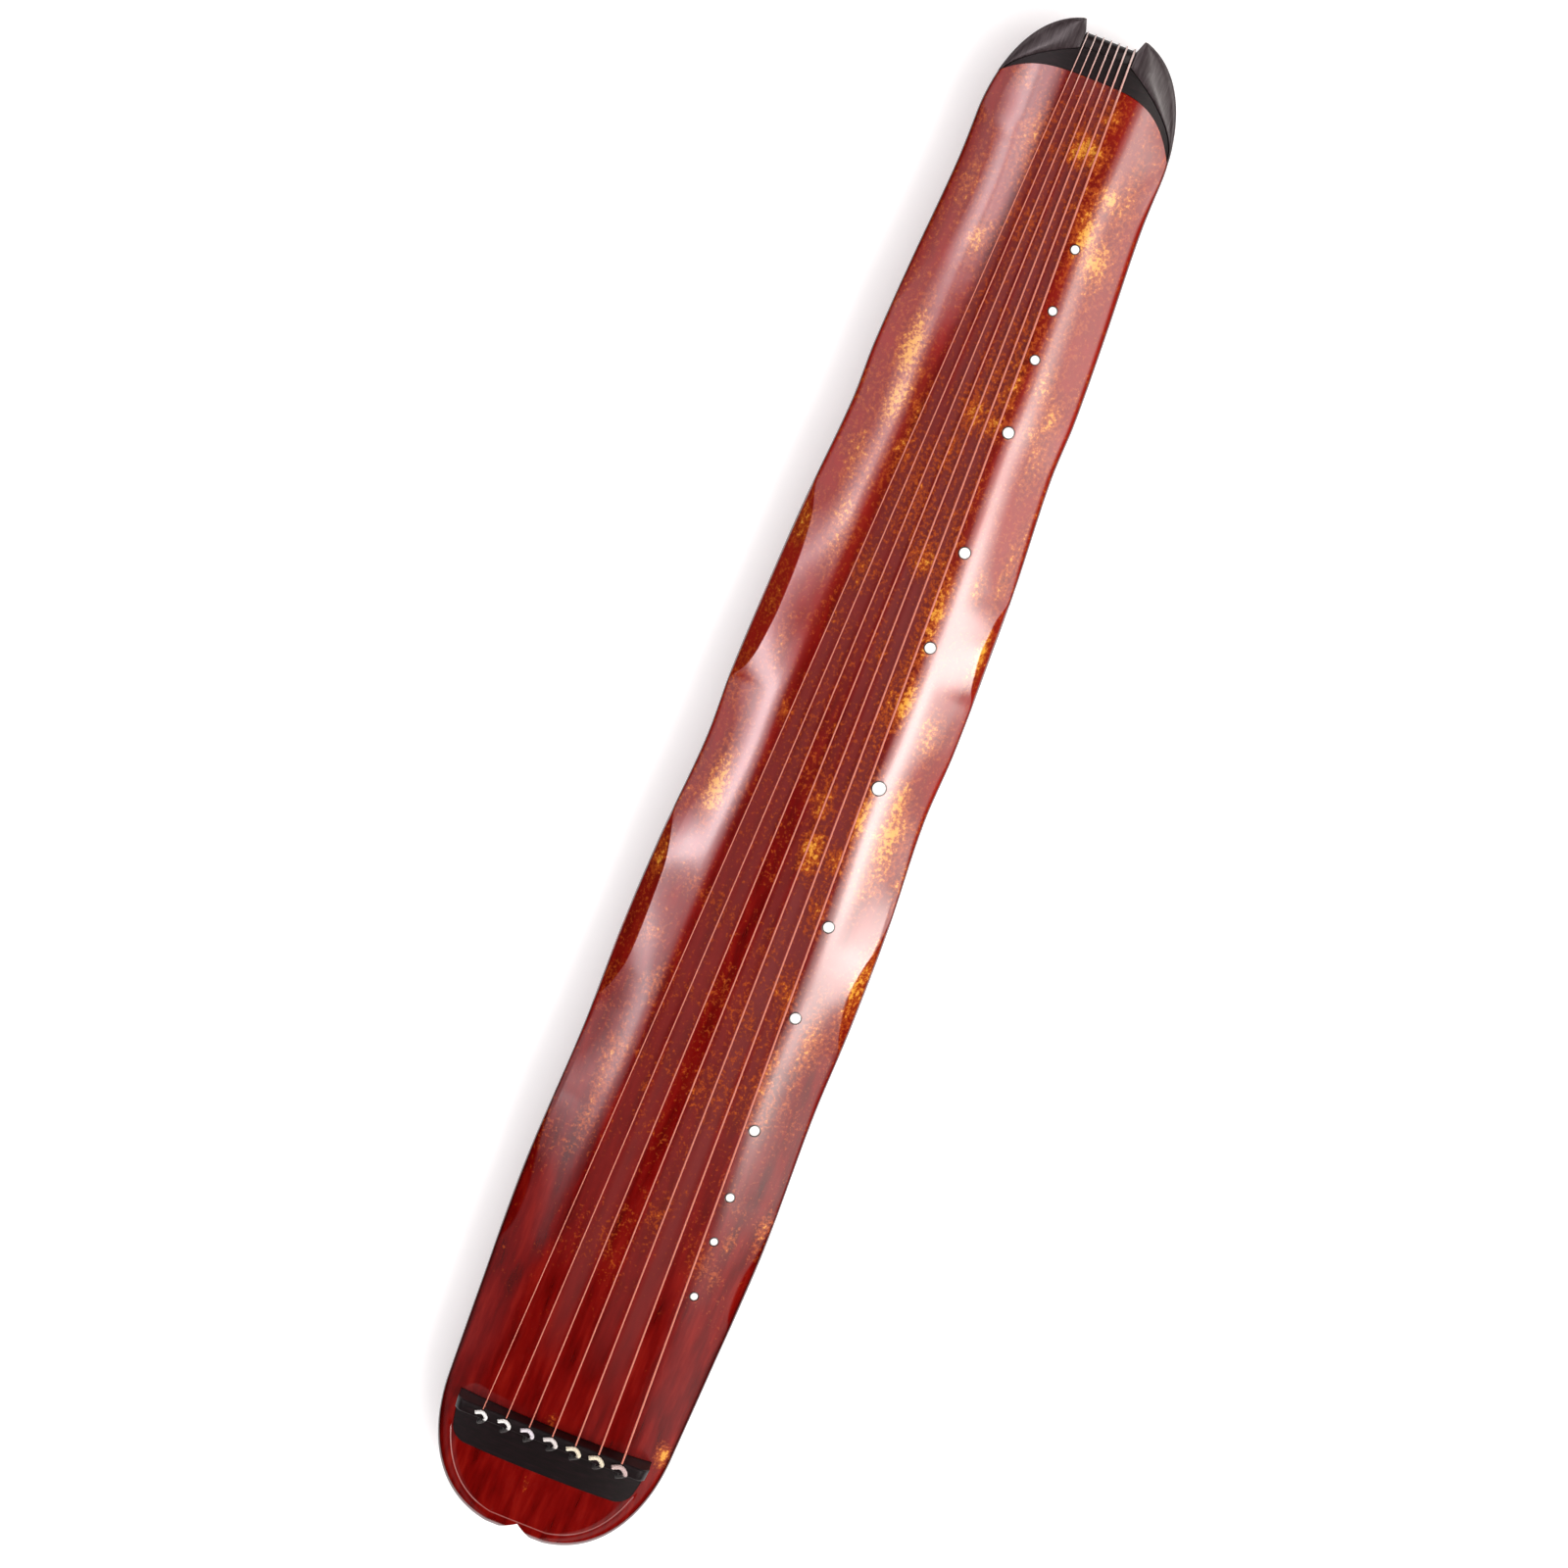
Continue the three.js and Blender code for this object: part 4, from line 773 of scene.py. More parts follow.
def wood(name, shades, grain, stretch, values):
    """Wood in three shades, drawn out along its grain by a stretch for each axis."""
    material, tree, shader = finish(name)
    spot = node(tree, "TexCoord", out="Object")
    drawn = node(tree, "Mapping", {"Vector": spot, "Scale": stretch})
    streak = node(tree, "TexNoise", {
        "Vector": drawn, "Scale": 1 / grain, "Detail": 5, "Roughness": 0.65, "Distortion": 0.3,
    })
    colour = node(tree, "ValToRGB", {"Fac": streak}, stops=zip((0.32, 0.52, 0.72), shades))
    bump = node(tree, "Bump", {"Height": streak, "Strength": 1, "Distance": GRAIN_RELIEF})
    set_up(tree, shader, {"Base Color": colour, "Normal": bump, **values})
    return material


POLISH = {"Roughness": 0.42, "IOR": 1.4, "Coat Weight": 0.1, "Coat Roughness": 0.25}
crosswise_rosewood = wood(
    "crosswise_rosewood", ("070303", "110709", "200f13"), GRAIN, (1, 0.06, 1), POLISH,
)
upright_rosewood = wood(
    "upright_rosewood", ("120a09", "20120f", "39211c"), GRAIN, (1, 1, 0.08), POLISH,
)
wing_wood = wood(
    "wing_wood", ("221819", "372d2f", "4c4345"), GRAIN, (0.1, 1, 1),
    {"Roughness": 0.34, "IOR": 1.5, "Coat Weight": 0.5, "Coat Roughness": 0.18},
)
bare_fir = wood(
    "bare_fir", ("7d5229", "a3743f", "bb8b54"), FIR_GRAIN, (0.05, 1, 1),
    {"Roughness": 0.7, "IOR": 1.5},
)

# %% [markdown]
# The studs are mother-of-pearl: thin discs of shell, ground flat and polished.
# The layers in the shell turn white light faintly pink and green.

# %% Mother-of-pearl and its dark ring
PEARL_WAVE = 3 * MM


def shell():
    material, tree, shader = finish("mother_of_pearl")
    spot = node(tree, "TexCoord", out="Object")
    cloud = node(tree, "TexNoise", {
        "Vector": spot, "Scale": 1 / PEARL_WAVE, "Detail": 3, "Distortion": 1.2,
    })
    colour = node(
        tree, "ValToRGB", {"Fac": cloud}, stops=[(0.3, "e6ece8"), (0.5, "f4f1ea"), (0.7, "f2e2e4")],
    )
    set_up(tree, shader, {
        "Base Color": colour, "Roughness": 0.22, "IOR": 1.53, "Coat Weight": 0.8,
        "Coat Roughness": 0.05,
    })
    return material


pearl = shell()
ring_lacquer, ring_tree, ring_shader = finish("black_lacquer")
set_up(ring_tree, ring_shader, {
    "Base Color": srgb("1a0706"), "Roughness": 0.35, "IOR": 1.5, "Coat Weight": 1,
    "Coat Roughness": 0.1,
})

# %% [markdown]
# The strings are silk, wound with a flat silk thread and glued smooth. Their
# own colour is a pale off white, which they keep near the nut; over the lacquer
# they are painted red, with the light that the red lacquer throws onto them.
# The cords are plain twisted silk, each in its own off white, with shade
# painted dark where they drop behind the knot.

# %% Silks
WINDING = 0.9 * MM
WINDING_RELIEF = 0.03 * MM
FIBRE = 0.5 * MM
FIBRE_RELIEF = 0.08 * MM
PALE_START = 1080 * MM
PALE_END = 1140 * MM


def wound_silk():
    material, tree, shader = finish("wound_silk")
    run = node(tree, "Attribute", out="Fac", attribute_name="run")
    turns = node(tree, "Math", {0: run, 1: 2 * math.pi / WINDING}, operation="MULTIPLY")
    rib = node(tree, "Math", {0: turns}, operation="SINE")
    shade = node(tree, "MapRange", {"Value": rib, "From Min": -1, "From Max": 1})
    pale = node(tree, "MapRange", {"Value": run, "From Min": PALE_START, "From Max": PALE_END})
    # Painted light: the red is light thrown onto the strings by the lacquer; the pale near the nut is
    # their own colour.
    colour = layered(tree, srgb("b9604e"), (shade, "e58c74"), (pale, "d6cfca"))
    bump = node(tree, "Bump", {"Height": rib, "Strength": 0.6, "Distance": WINDING_RELIEF})
    set_up(tree, shader, {
        "Base Color": colour, "Normal": bump, "Roughness": 0.42, "IOR": 1.54, "Sheen Weight": 0.2,
    })
    return material


def twisted_silk(name, dark, light):
    material, tree, shader = finish(name)
    spot = node(tree, "TexCoord", out="Object")
    fibre = node(tree, "TexNoise", {"Vector": spot, "Scale": 1 / FIBRE, "Detail": 2})
    dye = node(tree, "ValToRGB", {"Fac": fibre}, stops=[(0.35, dark), (0.65, light)])
    # Painted shade where the cord drops behind the knot.
    deep = node(tree, "Attribute", out="Fac", attribute_name="deep")
    bump = node(tree, "Bump", {"Height": fibre, "Strength": 0.7, "Distance": FIBRE_RELIEF})
    set_up(tree, shader, {
        "Base Color": layered(tree, dye, (deep, "1c1410")), "Normal": bump, "Roughness": 0.6,
        "IOR": 1.54, "Sheen Weight": 0.35,
    })
    return material


string_silk = wound_silk()
CORD_DYES = [
    ("b99c98", "d6c0bb"), ("d3c7ab", "efe6cf"), ("d8ccb0", "f1e8d2"), ("d2c9c4", "eee8e4"),
    ("cfc6cc", "ece6ea"), ("e0deda", "f8f6f2"), ("e2e0dd", "faf9f6"),
]
cord_silks = [twisted_silk(f"cord_silk_{k + 1}", *dye) for k, dye in enumerate(CORD_DYES)]

# %% [markdown]
# ## Top board
# The board is one plank, arched above, wavy along its margin and hollowed
# below. Its skin is a row of rings that follow the outline inwards. One of them
# lies on the crease of the folds, so that the carved edge stays crisp, and a
# fine groove follows the margin of the head.

# %% Plan of the body
PLAN_STEP = 3
EDGE_STEPS = 5
TOP_EDGE_ROUND = 1.3
RIM_SHARES = [0.12, 0.26, 0.42, 0.58, 0.74, 0.86, 0.94, 1]
DEEPEST_RING = 24
SPINE_SET_BACK = 58
SPINE_STEPS = 16
GROOVE_INSET = 11.4
GROOVE_WIDTH = 1.4
GROOVE_DEPTH = 0.5
GROOVE_OVERLAP = 6
X_GROOVE_END = X_PLATE_END - GROOVE_OVERLAP
WIDEST_RIM_RING = 9.4
RING_GAP = 0.3
SEAM_INSET = 6
WALL_SHARES = [0, 0.3, 0.6, 0.85, 1]
INNER_SHARES = [0.35, 0.65, 1]
SWEEP_STEPS = 6000


def plan_of(step):
    """Points round the body from the head, with their outward directions."""
    sweep = np.linspace(0, math.pi, SWEEP_STEPS + 1)
    x = between(X_TAIL, X_HEAD, (1 + np.cos(sweep)) / 2)
    half = np.vstack([[X_HEAD, 0], np.column_stack([x, outline(x)]), [X_TAIL, 0]])
    run = run_of(half)
    at = np.linspace(0, run[-1], round(run[-1] / step) + 1)
    side = np.column_stack([np.interp(at, run, half[:, 0]), np.interp(at, run, half[:, 1])])
    mirrored = side[-2:0:-1] * (1, -1)
    plan = np.vstack([side, mirrored])
    ahead = np.roll(plan, -1, axis=0) - np.roll(plan, 1, axis=0)
    outward = np.column_stack([ahead[:, 1], -ahead[:, 0]])
    outward /= np.linalg.norm(outward, axis=1, keepdims=True)
    return plan, outward


def inside(plan, outward, inset):
    return plan - np.asarray(inset).reshape(-1, 1) * outward


def lifted(places, z):
    return np.column_stack([places, np.broadcast_to(z, len(places))])


def ring_at(plan, outward, inset, z):
    return lifted(inside(plan, outward, inset), z)


def spine_of(plan):
    low, high = X_TAIL + SPINE_SET_BACK, X_HEAD - SPINE_SET_BACK
    return np.column_stack([np.clip(plan[:, 0], low, high), np.zeros(len(plan))])


def top_skin():
    plan, outward = plan_of(PLAN_STEP)
    margin = plan[:, 0]
    side = np.where(plan[:, 1] >= 0, 1, -1)
    crease, softness, slope = crease_at(margin, side)
    swell = swell_at(margin, side)
    wide = np.maximum(crease, np.minimum(rim_width(margin), WIDEST_RIM_RING))
    folded = np.clip(crease / RIM_WIDTH, 0, 1)

    def lift(inset):
        return swell * np.clip(1 - np.maximum(inset - crease, 0) / SWELL_WIDTH, 0, 1) ** 2

    def high(inset):
        x, y = inside(plan, outward, inset).T
        cut = np.maximum(crease - inset, 0)
        sunk = slope * cut * cut / (cut + softness)
        rim = rim_drop(x) * np.clip(1 - inset / rim_width(x), 0, 1) ** 2
        off_groove = np.abs(inset - GROOVE_INSET) / (GROOVE_WIDTH / 2)
        groove = GROOVE_DEPTH * np.clip(1 - off_groove, 0, 1) * (margin > X_GROOVE_END)
        return level(x, y, inset) + rim * folded + lift(inset) - sunk - groove

    edge = high(0) - TOP_EDGE_ROUND
    rings = [
        ring_at(plan, outward, SIDE_TUCK * (1 - t), between(Z_SEAM, edge, t)) for t in WALL_SHARES
    ]
    for drop, inset in rounding(TOP_EDGE_ROUND, EDGE_STEPS)[1:]:
        rings.append(ring_at(plan, outward, inset, high(inset) - drop))
    line = np.maximum(GROOVE_INSET, wide + GROOVE_WIDTH)
    for inset in (
        *(between(TOP_EDGE_ROUND, wide, share) for share in RIM_SHARES),
        wide + RING_GAP, line - GROOVE_WIDTH / 2, line, line + GROOVE_WIDTH / 2,
        *(between(line, DEEPEST_RING, share) for share in INNER_SHARES),
    ):
        rings.append(ring_at(plan, outward, inset, high(inset)))
    inner = rings[-1][:, :2]
    spine = spine_of(plan)
    depth = np.linalg.norm(spine - inner, axis=1)
    for share in np.arange(1, SPINE_STEPS + 1) / SPINE_STEPS:
        places = between(inner, spine, share)
        roof = level(*places.T, DEEPEST_RING) + lift(DEEPEST_RING + depth * share)
        rings.append(lifted(places, roof))
    rings.insert(0, ring_at(plan, outward, SIDE_TUCK + SEAM_INSET, Z_SEAM))
    rings.insert(0, lifted(spine, Z_SEAM))
    return solid("lacquered_top", rings, side_faces(len(rings), len(plan)))


top = top_skin()
print("top skin", len(top.data.vertices), "points")

# %% [markdown]
# ## Cutters
# The sound box, the openings that both boards share, the bed of the bridge,
# the inlay at the tail, the cord holes and the stud pockets.

# %% Cutters
SIDE_WALL = 15
TOP_THICKNESS = 14
HEAD_BLOCK = 24
TAIL_BLOCK = 66
SOUND_LIP_WIDTH = 46
SOUND_LIP_DEPTH = 7
SOUND_LIP_MARGIN = 14
SOUND_LIP_SLOPE = 6
DRAGON_POOL_SHARE = 0.375
DRAGON_POOL_LENGTH = 210
PHOENIX_POND_SHARE = 0.8125
PHOENIX_POND_LENGTH = 106
SOUND_HOLES = [
    (DRAGON_POOL_SHARE, DRAGON_POOL_LENGTH), (PHOENIX_POND_SHARE, PHOENIX_POND_LENGTH),
]
SOUND_HOLE_WIDTH = 28
BOX_STEPS = 70
HEAD_NOTCH_WIDTH = 30
HEAD_NOTCH_DEPTH = 10
NOTCH_CURVE_SHARE = 1.2
NUT_SIDE_MARGIN = 1.4
NUT_HALF = (STRING_COUNT - 1) / 2 * NUT_SPACING + NUT_SIDE_MARGIN
WING_TIP_FLARE = 3
POOL_LENGTH = 30
POOL_END_MARGIN = 10
PEG_FOOT_DIAMETER = 12
PEGGED_SPAN = (STRING_COUNT - 1) * BRIDGE_SPACING
CORD_HOLE = 4
HOLE_SIDES = 24
SLOT_END_STEPS = 16
NOTCH_STEPS = 32
ROOF_SHARES = [0.25, 0.5, 0.75, 0.9, 1]


def slot_plan(x, y, length, width, crosswise=False):
    """Long slot with rounded ends."""
    shift = (length - width) / 2
    dx, dy, start = (0, shift, 0) if crosswise else (shift, 0, -90)
    middle, end = start + 180, start + 360
    ends = arc(x + dx, y + dy, width / 2, start, middle, SLOT_END_STEPS)
    return ends + arc(x - dx, y - dy, width / 2, middle, end, SLOT_END_STEPS)


def lip_at(x):
    shares = []
    for share, length in SOUND_HOLES:
        reach = length / 2 + SOUND_LIP_MARGIN
        shares.append(np.clip((reach - abs(x - along(share))) / SOUND_LIP_SLOPE, 0, 1))
    return SOUND_LIP_DEPTH * max(shares)


def sound_box():
    places = list(np.linspace(X_NUT + TAIL_BLOCK, X_BRIDGE - HEAD_BLOCK, BOX_STEPS))
    for share, length in SOUND_HOLES:
        reach = length / 2 + SOUND_LIP_MARGIN
        for end in (-1, 1):
            places += [along(share) + end * reach, along(share) + end * (reach - SOUND_LIP_SLOPE)]
    lip = SOUND_LIP_WIDTH / 2
    rings = []
    for x in sorted(places):
        half = float(outline(x)) - SIDE_WALL
        roof = [(0, lip_at(x)), (lip, lip_at(x)), (lip + GAP, 0)]
        roof += [(between(lip, half, share), 0) for share in ROOF_SHARES]
        side = [(y, float(surface(x, y)) - TOP_THICKNESS - drop) for y, drop in roof]
        side.append((half, Z_SEAM - OVERRUN))
        rings.append([(x, -y, z) for y, z in side[::-1]] + [(x, y, z) for y, z in side[1:]])
    return skin("sound_box", rings)


gap_half = NUT_HALF + GAP
gap_side = [
    (X_NUT_FOOT + GAP, gap_half), (X_END, gap_half), (X_TAIL, gap_half + WING_TIP_FLARE),
    (X_TAIL - OVERRUN, gap_half + WING_TIP_FLARE),
]
tail_gap_plan = [(x, -y) for x, y in gap_side[::-1]] + gap_side
notch_plan = [(X_HEAD + OVERRUN, -HEAD_NOTCH_WIDTH / 2)] + [
    (X_HEAD - HEAD_NOTCH_DEPTH * (1 - abs(s)) ** NOTCH_CURVE_SHARE, s * HEAD_NOTCH_WIDTH / 2)
    for s in np.linspace(-1, 1, NOTCH_STEPS + 1)
] + [(X_HEAD + OVERRUN, HEAD_NOTCH_WIDTH / 2)]
pool_plan = slot_plan(
    X_CORD_HOLE, 0, PEGGED_SPAN + PEG_FOOT_DIAMETER + POOL_END_MARGIN, POOL_LENGTH, crosswise=True,
)


def bridge_y(k):
    return ((STRING_COUNT - 1) / 2 - k) * BRIDGE_SPACING


def nut_y(k):
    return ((STRING_COUNT - 1) / 2 - k) * NUT_SPACING


def cord_holes():
    return [
        prism("cord_hole", circle(X_CORD_HOLE, bridge_y(k), CORD_HOLE / 2, HOLE_SIDES), Z_SEAM, Z_ABOVE)
        for k in range(STRING_COUNT)
    ]


# %% Bed of the bridge and inlay of the tail
BRIDGE_RISE = 14.7
BRIDGE_ROUND = 1.6
BRIDGE_END_RISE = 17
BAR_MARGIN = 13.5
BAR_SINK = 4
PLATE_CORNER = 10
PLATE_PROUD = 0.8
BRIDGE_SLOPE_SHARE = 0.92
CORNER_STEPS = 10
STRAIGHT_STEPS = 7
BAR_STEPS = 40
BAR_SHARES = np.sin(np.linspace(-math.pi / 2, math.pi / 2, BAR_STEPS + 1))
bridge_top = float(crown(X_BRIDGE)) + BRIDGE_RISE


def slab(name, places, half, low, high, shares):
    """Solid between two surfaces, over y up to half(x, side) on each side."""
    rings = []
    for x in places:
        ys = [share * float(half(x, np.sign(share))) for share in shares]
        over = [(x, y, float(high(x, y))) for y in ys]
        under = [(x, y, float(low(x, y))) for y in ys[::-1]]
        rings.append(over + under)
    return skin(name, rings)


def bar_half(x, side=1):
    return outline(x) - BAR_MARGIN


def rounded_bar_half(x, side=1):
    past = np.clip(x - (X_PLATE_END - PLATE_CORNER), 0, PLATE_CORNER)
    return bar_half(x) - PLATE_CORNER + np.sqrt(PLATE_CORNER ** 2 - past ** 2)


def bar_places(start):
    straight = X_PLATE_END - PLATE_CORNER
    places = list(np.linspace(start, straight, STRAIGHT_STEPS + 1)[:-1])
    return places + [x for x, _ in arc(straight, 0, PLATE_CORNER, 90, 0, CORNER_STEPS)]


def bar_bed():
    return slab(
        "bar_bed", [X_BRIDGE - GAP] + [x + GAP for x in bar_places(X_BRIDGE)],
        lambda x, side: rounded_bar_half(max(x - GAP, X_BRIDGE)) + GAP,
        lambda x, y: surface(x, y) - BAR_SINK - GAP,
        lambda x, y: bridge_top + OVERRUN, BAR_SHARES,
    )


TAIL_PLATE_LENGTH = 24
OUTER_HORN_LENGTH = 32
INNER_HORN_LENGTH = 18
HORN_CURVE_SHARE = 3.6
HORN_REACH_SHARE = 0.95
HORN_STEPS = 120


def lacquer_end(y):
    reach = abs(y) / (TAIL_WIDTH / 2 * HORN_REACH_SHARE)
    horn = OUTER_HORN_LENGTH if y > 0 else INNER_HORN_LENGTH
    return X_NUT + TAIL_PLATE_LENGTH + horn * reach ** HORN_CURVE_SHARE


def inlay_prism(clearance):
    side = TAIL_WIDTH / 2 + RIM_WIDTH
    curve = [(lacquer_end(y) - clearance, y) for y in np.linspace(-side, side, HORN_STEPS + 1)]
    plan = [(X_TAIL - OVERRUN, -side), *curve, (X_TAIL - OVERRUN, side)]
    return prism("inlay", plan, Z_INLAY, Z_ABOVE)


# %% Stud pockets
LARGEST_STUD = 10
STUD_THICKNESS = 2
STUD_PROUD = 0.1
STUD_SET_OUT = 8.6
STUD_SIDES = 36
RING_WIDTH = 0.7
STUD_SHARES = [
    (1 / 8, 0.57), (1 / 6, 0.57), (1 / 5, 0.64), (1 / 4, 0.77), (1 / 3, 0.8), (2 / 5, 0.8),
    (1 / 2, 1), (3 / 5, 0.8), (2 / 3, 0.8), (3 / 4, 0.8), (4 / 5, 0.64), (5 / 6, 0.6), (7 / 8, 0.6),
]


def stud_reach(size):
    """Radius of a stud with the dark ring round it."""
    return LARGEST_STUD * size / 2 + RING_WIDTH


def stud_frame(share):
    """Place of a stud on the top and the direction that it faces."""
    x = along(share)
    y = between(bridge_y(0), nut_y(0), share) + STUD_SET_OUT
    step = SLOPE_STEP_SHARE * STRING_LENGTH
    slope_x = float(surface(x + step, y) - surface(x - step, y)) / (2 * step)
    slope_y = float(surface(x, y + step) - surface(x, y - step)) / (2 * step)
    return Vector((x, y, float(surface(x, y)))), Vector((-slope_x, -slope_y, 1)).normalized()


def set_in(name, profile, share):
    """Turned disc that lies in the top at a stud's place."""
    disc = turned(name, profile, 0, 0, STUD_SIDES)
    place, normal = stud_frame(share)
    tilt = Vector((0, 0, 1)).rotation_difference(normal).to_matrix().to_4x4()
    disc.data.transform(Matrix.Translation(place * MM) @ tilt)
    return disc


def stud_pockets():
    made = []
    for share, size in STUD_SHARES:
        radius = stud_reach(size) + GAP
        floor = -STUD_THICKNESS - GAP
        profile = [(0, floor), (radius, floor), (radius, OVERRUN), (0, OVERRUN)]
        made.append(set_in("pocket", profile, share))
    return made


# %% Carving the top board
below = Z_SEAM - OVERRUN
carve(top, [
    sound_box(),
    prism("tail_gap", tail_gap_plan, below, Z_ABOVE),
    prism("notch", notch_plan, below, Z_ABOVE),
    prism("pool", pool_plan, below, Z_POOL_ROOF),
    inlay_prism(0),
    bar_bed(),
    *cord_holes(),
    *stud_pockets(),
])
print("carved top", len(top.data.vertices), "points")

# %% [markdown]
# ## Clouds of gold
# The gold shows in patches: along the studs, by the waist, on the margins and
# over the whole tail. A list gives where the maker rubbed through, and each
# patch spreads out softly. The lanes between the strings are browner and the
# red beside them lighter, both the more so near the tail. Shade is painted dark
# along the edge, and a pale highlight is painted in the groove that follows the head.

# %% Gold and lanes of the top
GOLD_PATCHES = [
    # share along, mm across from the middle, length in mm, width in mm, strength
    (0.008, 85, 14, 8, 0.9), (0.003, -5, 12, 5, 0.6), (0.146, 57, 20, 12, 0.35),
    (0.17, 71, 12, 5, 0.6), (0.14, 71, 10, 6, 0.4), (0.18, 91, 22, 5, 0.6),
    (0.175, 12, 30, 8, 0.3), (-0.048, -5, 14, 5, 0.45), (0.313, 69, 45, 9, 0.55),
    (0.275, 60, 30, 7, 0.4), (0.29, 51, 40, 5, 0.5), (0.37, 86, 35, 8, 0.75),
    (0.397, 88, 12, 5, 0.6), (0.434, 67, 14, 12, 0.4), (0.465, 67, 35, 12, 0.8),
    (0.445, 87, 20, 4, 0.4), (0.476, 43, 20, 5, 0.95), (0.343, 42, 22, 6, 0.5),
    (0.348, 33, 20, 6, 0.4), (0.408, 38, 14, 8, 0.45), (0.444, 17, 20, 9, 0.85),
    (0.444, 35, 14, 8, 0.45), (0.475, 12, 14, 8, 0.6), (0.36, 14, 20, 6, 0.25),
    (0.493, 64, 25, 9, 0.85), (0.544, 65, 26, 9, 0.6), (0.487, 43, 18, 5, 0.9),
    (0.56, 42, 20, 6, 0.9), (0.62, 38, 34, 7, 0.8), (0.6, 30, 100, 6, 0.4),
    (0.652, 14, 14, 9, 0.5), (0.585, 10, 20, 6, 0.3), (0.606, 79, 20, 4, 1),
    (0.662, 75, 35, 5, 0.55), (0.646, 58, 15, 6, 0.7), (0.742, 62, 30, 10, 0.5),
    (0.755, 54, 20, 8, 0.5), (0.753, 8, 14, 6, 0.5), (0.73, 2, 15, 7, 0.4),
    (0.75, 25, 12, 8, 0.5), (0.767, 61, 14, 8, 0.7), (0.785, 49, 16, 9, 0.6),
    (0.777, 28, 16, 5, 0.6), (0.871, 49, 15, 10, 0.75), (0.886, 35, 16, 7, 0.9),
    (0.913, 41, 12, 10, 0.85), (0.914, 55, 25, 10, 0.5), (0.934, 11, 12, 14, 0.9),
    (0.96, 20, 8, 6, 0.6), (0.238, -66, 50, 6, 0.55), (0.262, -59, 25, 5, 0.45),
    (0.249, -34, 10, 5, 0.35), (0.317, -57, 14, 6, 0.35), (0.352, -72, 10, 8, 0.45),
    (0.46, -66, 32, 8, 0.8), (0.402, -87, 24, 4, 0.55), (0.31, -88, 30, 4, 0.2),
    (0.657, -53, 45, 9, 0.6), (0.697, -60, 35, 8, 0.5), (0.74, -49, 35, 9, 0.7),
    (0.73, -32, 25, 5, 0.5), (0.565, -62, 25, 6, 0.4), (0.593, -79, 40, 6, 0.25),
    (0.643, -79, 18, 6, 0.5), (0.63, -26, 14, 5, 0.3), (0.525, -40, 10, 6, 0.35),
    (0.778, -51, 28, 9, 0.95), (0.858, -37, 16, 8, 0.7), (0.935, -29, 25, 9, 0.5),
    (0.888, -58, 25, 8, 0.35), (0.965, -50, 8, 8, 0.6),
]
GOLD_ALONG = [
    # share along, strength added between the patches
    (-0.04, -0.7), (0.03, -0.6), (0.07, -0.35), (0.13, -0.15), (0.3, -0.02), (0.55, 0.02),
    (0.8, 0.09),
]
LIGHT_RED_ALONG = [
    # share along, strength
    (0.2, 0), (0.32, 0.15), (0.45, 0.35), (0.6, 0.45), (0.7, 0.6), (0.85, 0.5), (1, 0.25),
]
LIGHT_RED_RUN = 14
# Painted shade: how far in from the outline the lacquer is darkened, by share along.
EDGE_SHADE_WIDTHS = [(-0.06, 3), (0.1, 3.5), (0.2, 1.6), (1, 1.6)]
EDGE_SHADE_REACH = 1.3
EDGE_SHADE_DEPTH = 4
BROWN_LANES = [
    # share along and strength, for each lane between two strings
    [(0.1, 0), (0.2, 0.35), (0.3, 0.8), (1, 0.9)],
    [(0.03, 0.2), (0.1, 0.65), (0.4, 1), (0.5, 0.7), (0.6, 0.95)],
    [(0.04, 0), (0.1, 0.35), (0.3, 0.6), (0.5, 0.5), (0.6, 0.95)],
    [(0.3, 0), (0.5, 0.15), (0.6, 0.7), (0.75, 1)],
    [(0.04, 0), (0.1, 0.5), (0.3, 0.6), (0.8, 0.8)],
    [(0.1, 0), (0.2, 0.4), (0.6, 0.75), (1, 0.8)],
]
LANE_EDGE_SHARE = 0.16
OUTLINE_STEP = 1
BOX_MARGIN = 1
BOX_ROOF_MARGIN = 2


def gold_at(x, y):
    patches = np.zeros_like(x)
    for share, across, length, width, strength in GOLD_PATCHES:
        dx = (x - along(share)) / length
        dy = (y - across) / width
        patches = np.maximum(patches, strength * np.exp(-(dx * dx + dy * dy)))
    return patches + ease(GOLD_ALONG, share_at(x)) * (1 - np.minimum(patches, 1))


def brown_at(x, y):
    """How brown the lacquer is in the lanes between the strings."""
    s = np.clip(share_at(x), 0, 1)
    lane = (STRING_COUNT - 1) / 2 - y / between(BRIDGE_SPACING, NUT_SPACING, s)
    most = np.zeros_like(x)
    for k, strengths in enumerate(BROWN_LANES):
        within = np.clip((0.5 - np.abs(lane - k - 0.5)) / LANE_EDGE_SHARE, 0, 1)
        most = np.maximum(most, within * ease(strengths, s))
    return np.where(share_at(x) > 0, most, 0)


def light_at(x, y):
    """How light the red is beside the strings."""
    s = share_at(x)
    strings = between(BRIDGE_SPACING, NUT_SPACING, s) * (STRING_COUNT - 1) / 2
    return ease(LIGHT_RED_ALONG, s) * np.clip((np.abs(y) - strings) / LIGHT_RED_RUN, 0, 1)


def inset_at(x, y):
    """Distance of points from the outline."""
    outline_points, _ = plan_of(OUTLINE_STEP)
    tree = KDTree(len(outline_points))
    for i, (a, b) in enumerate(outline_points):
        tree.insert((a, b, 0), i)
    tree.balance()
    return np.array([tree.find((a, b, 0))[2] for a, b in zip(x, y)])


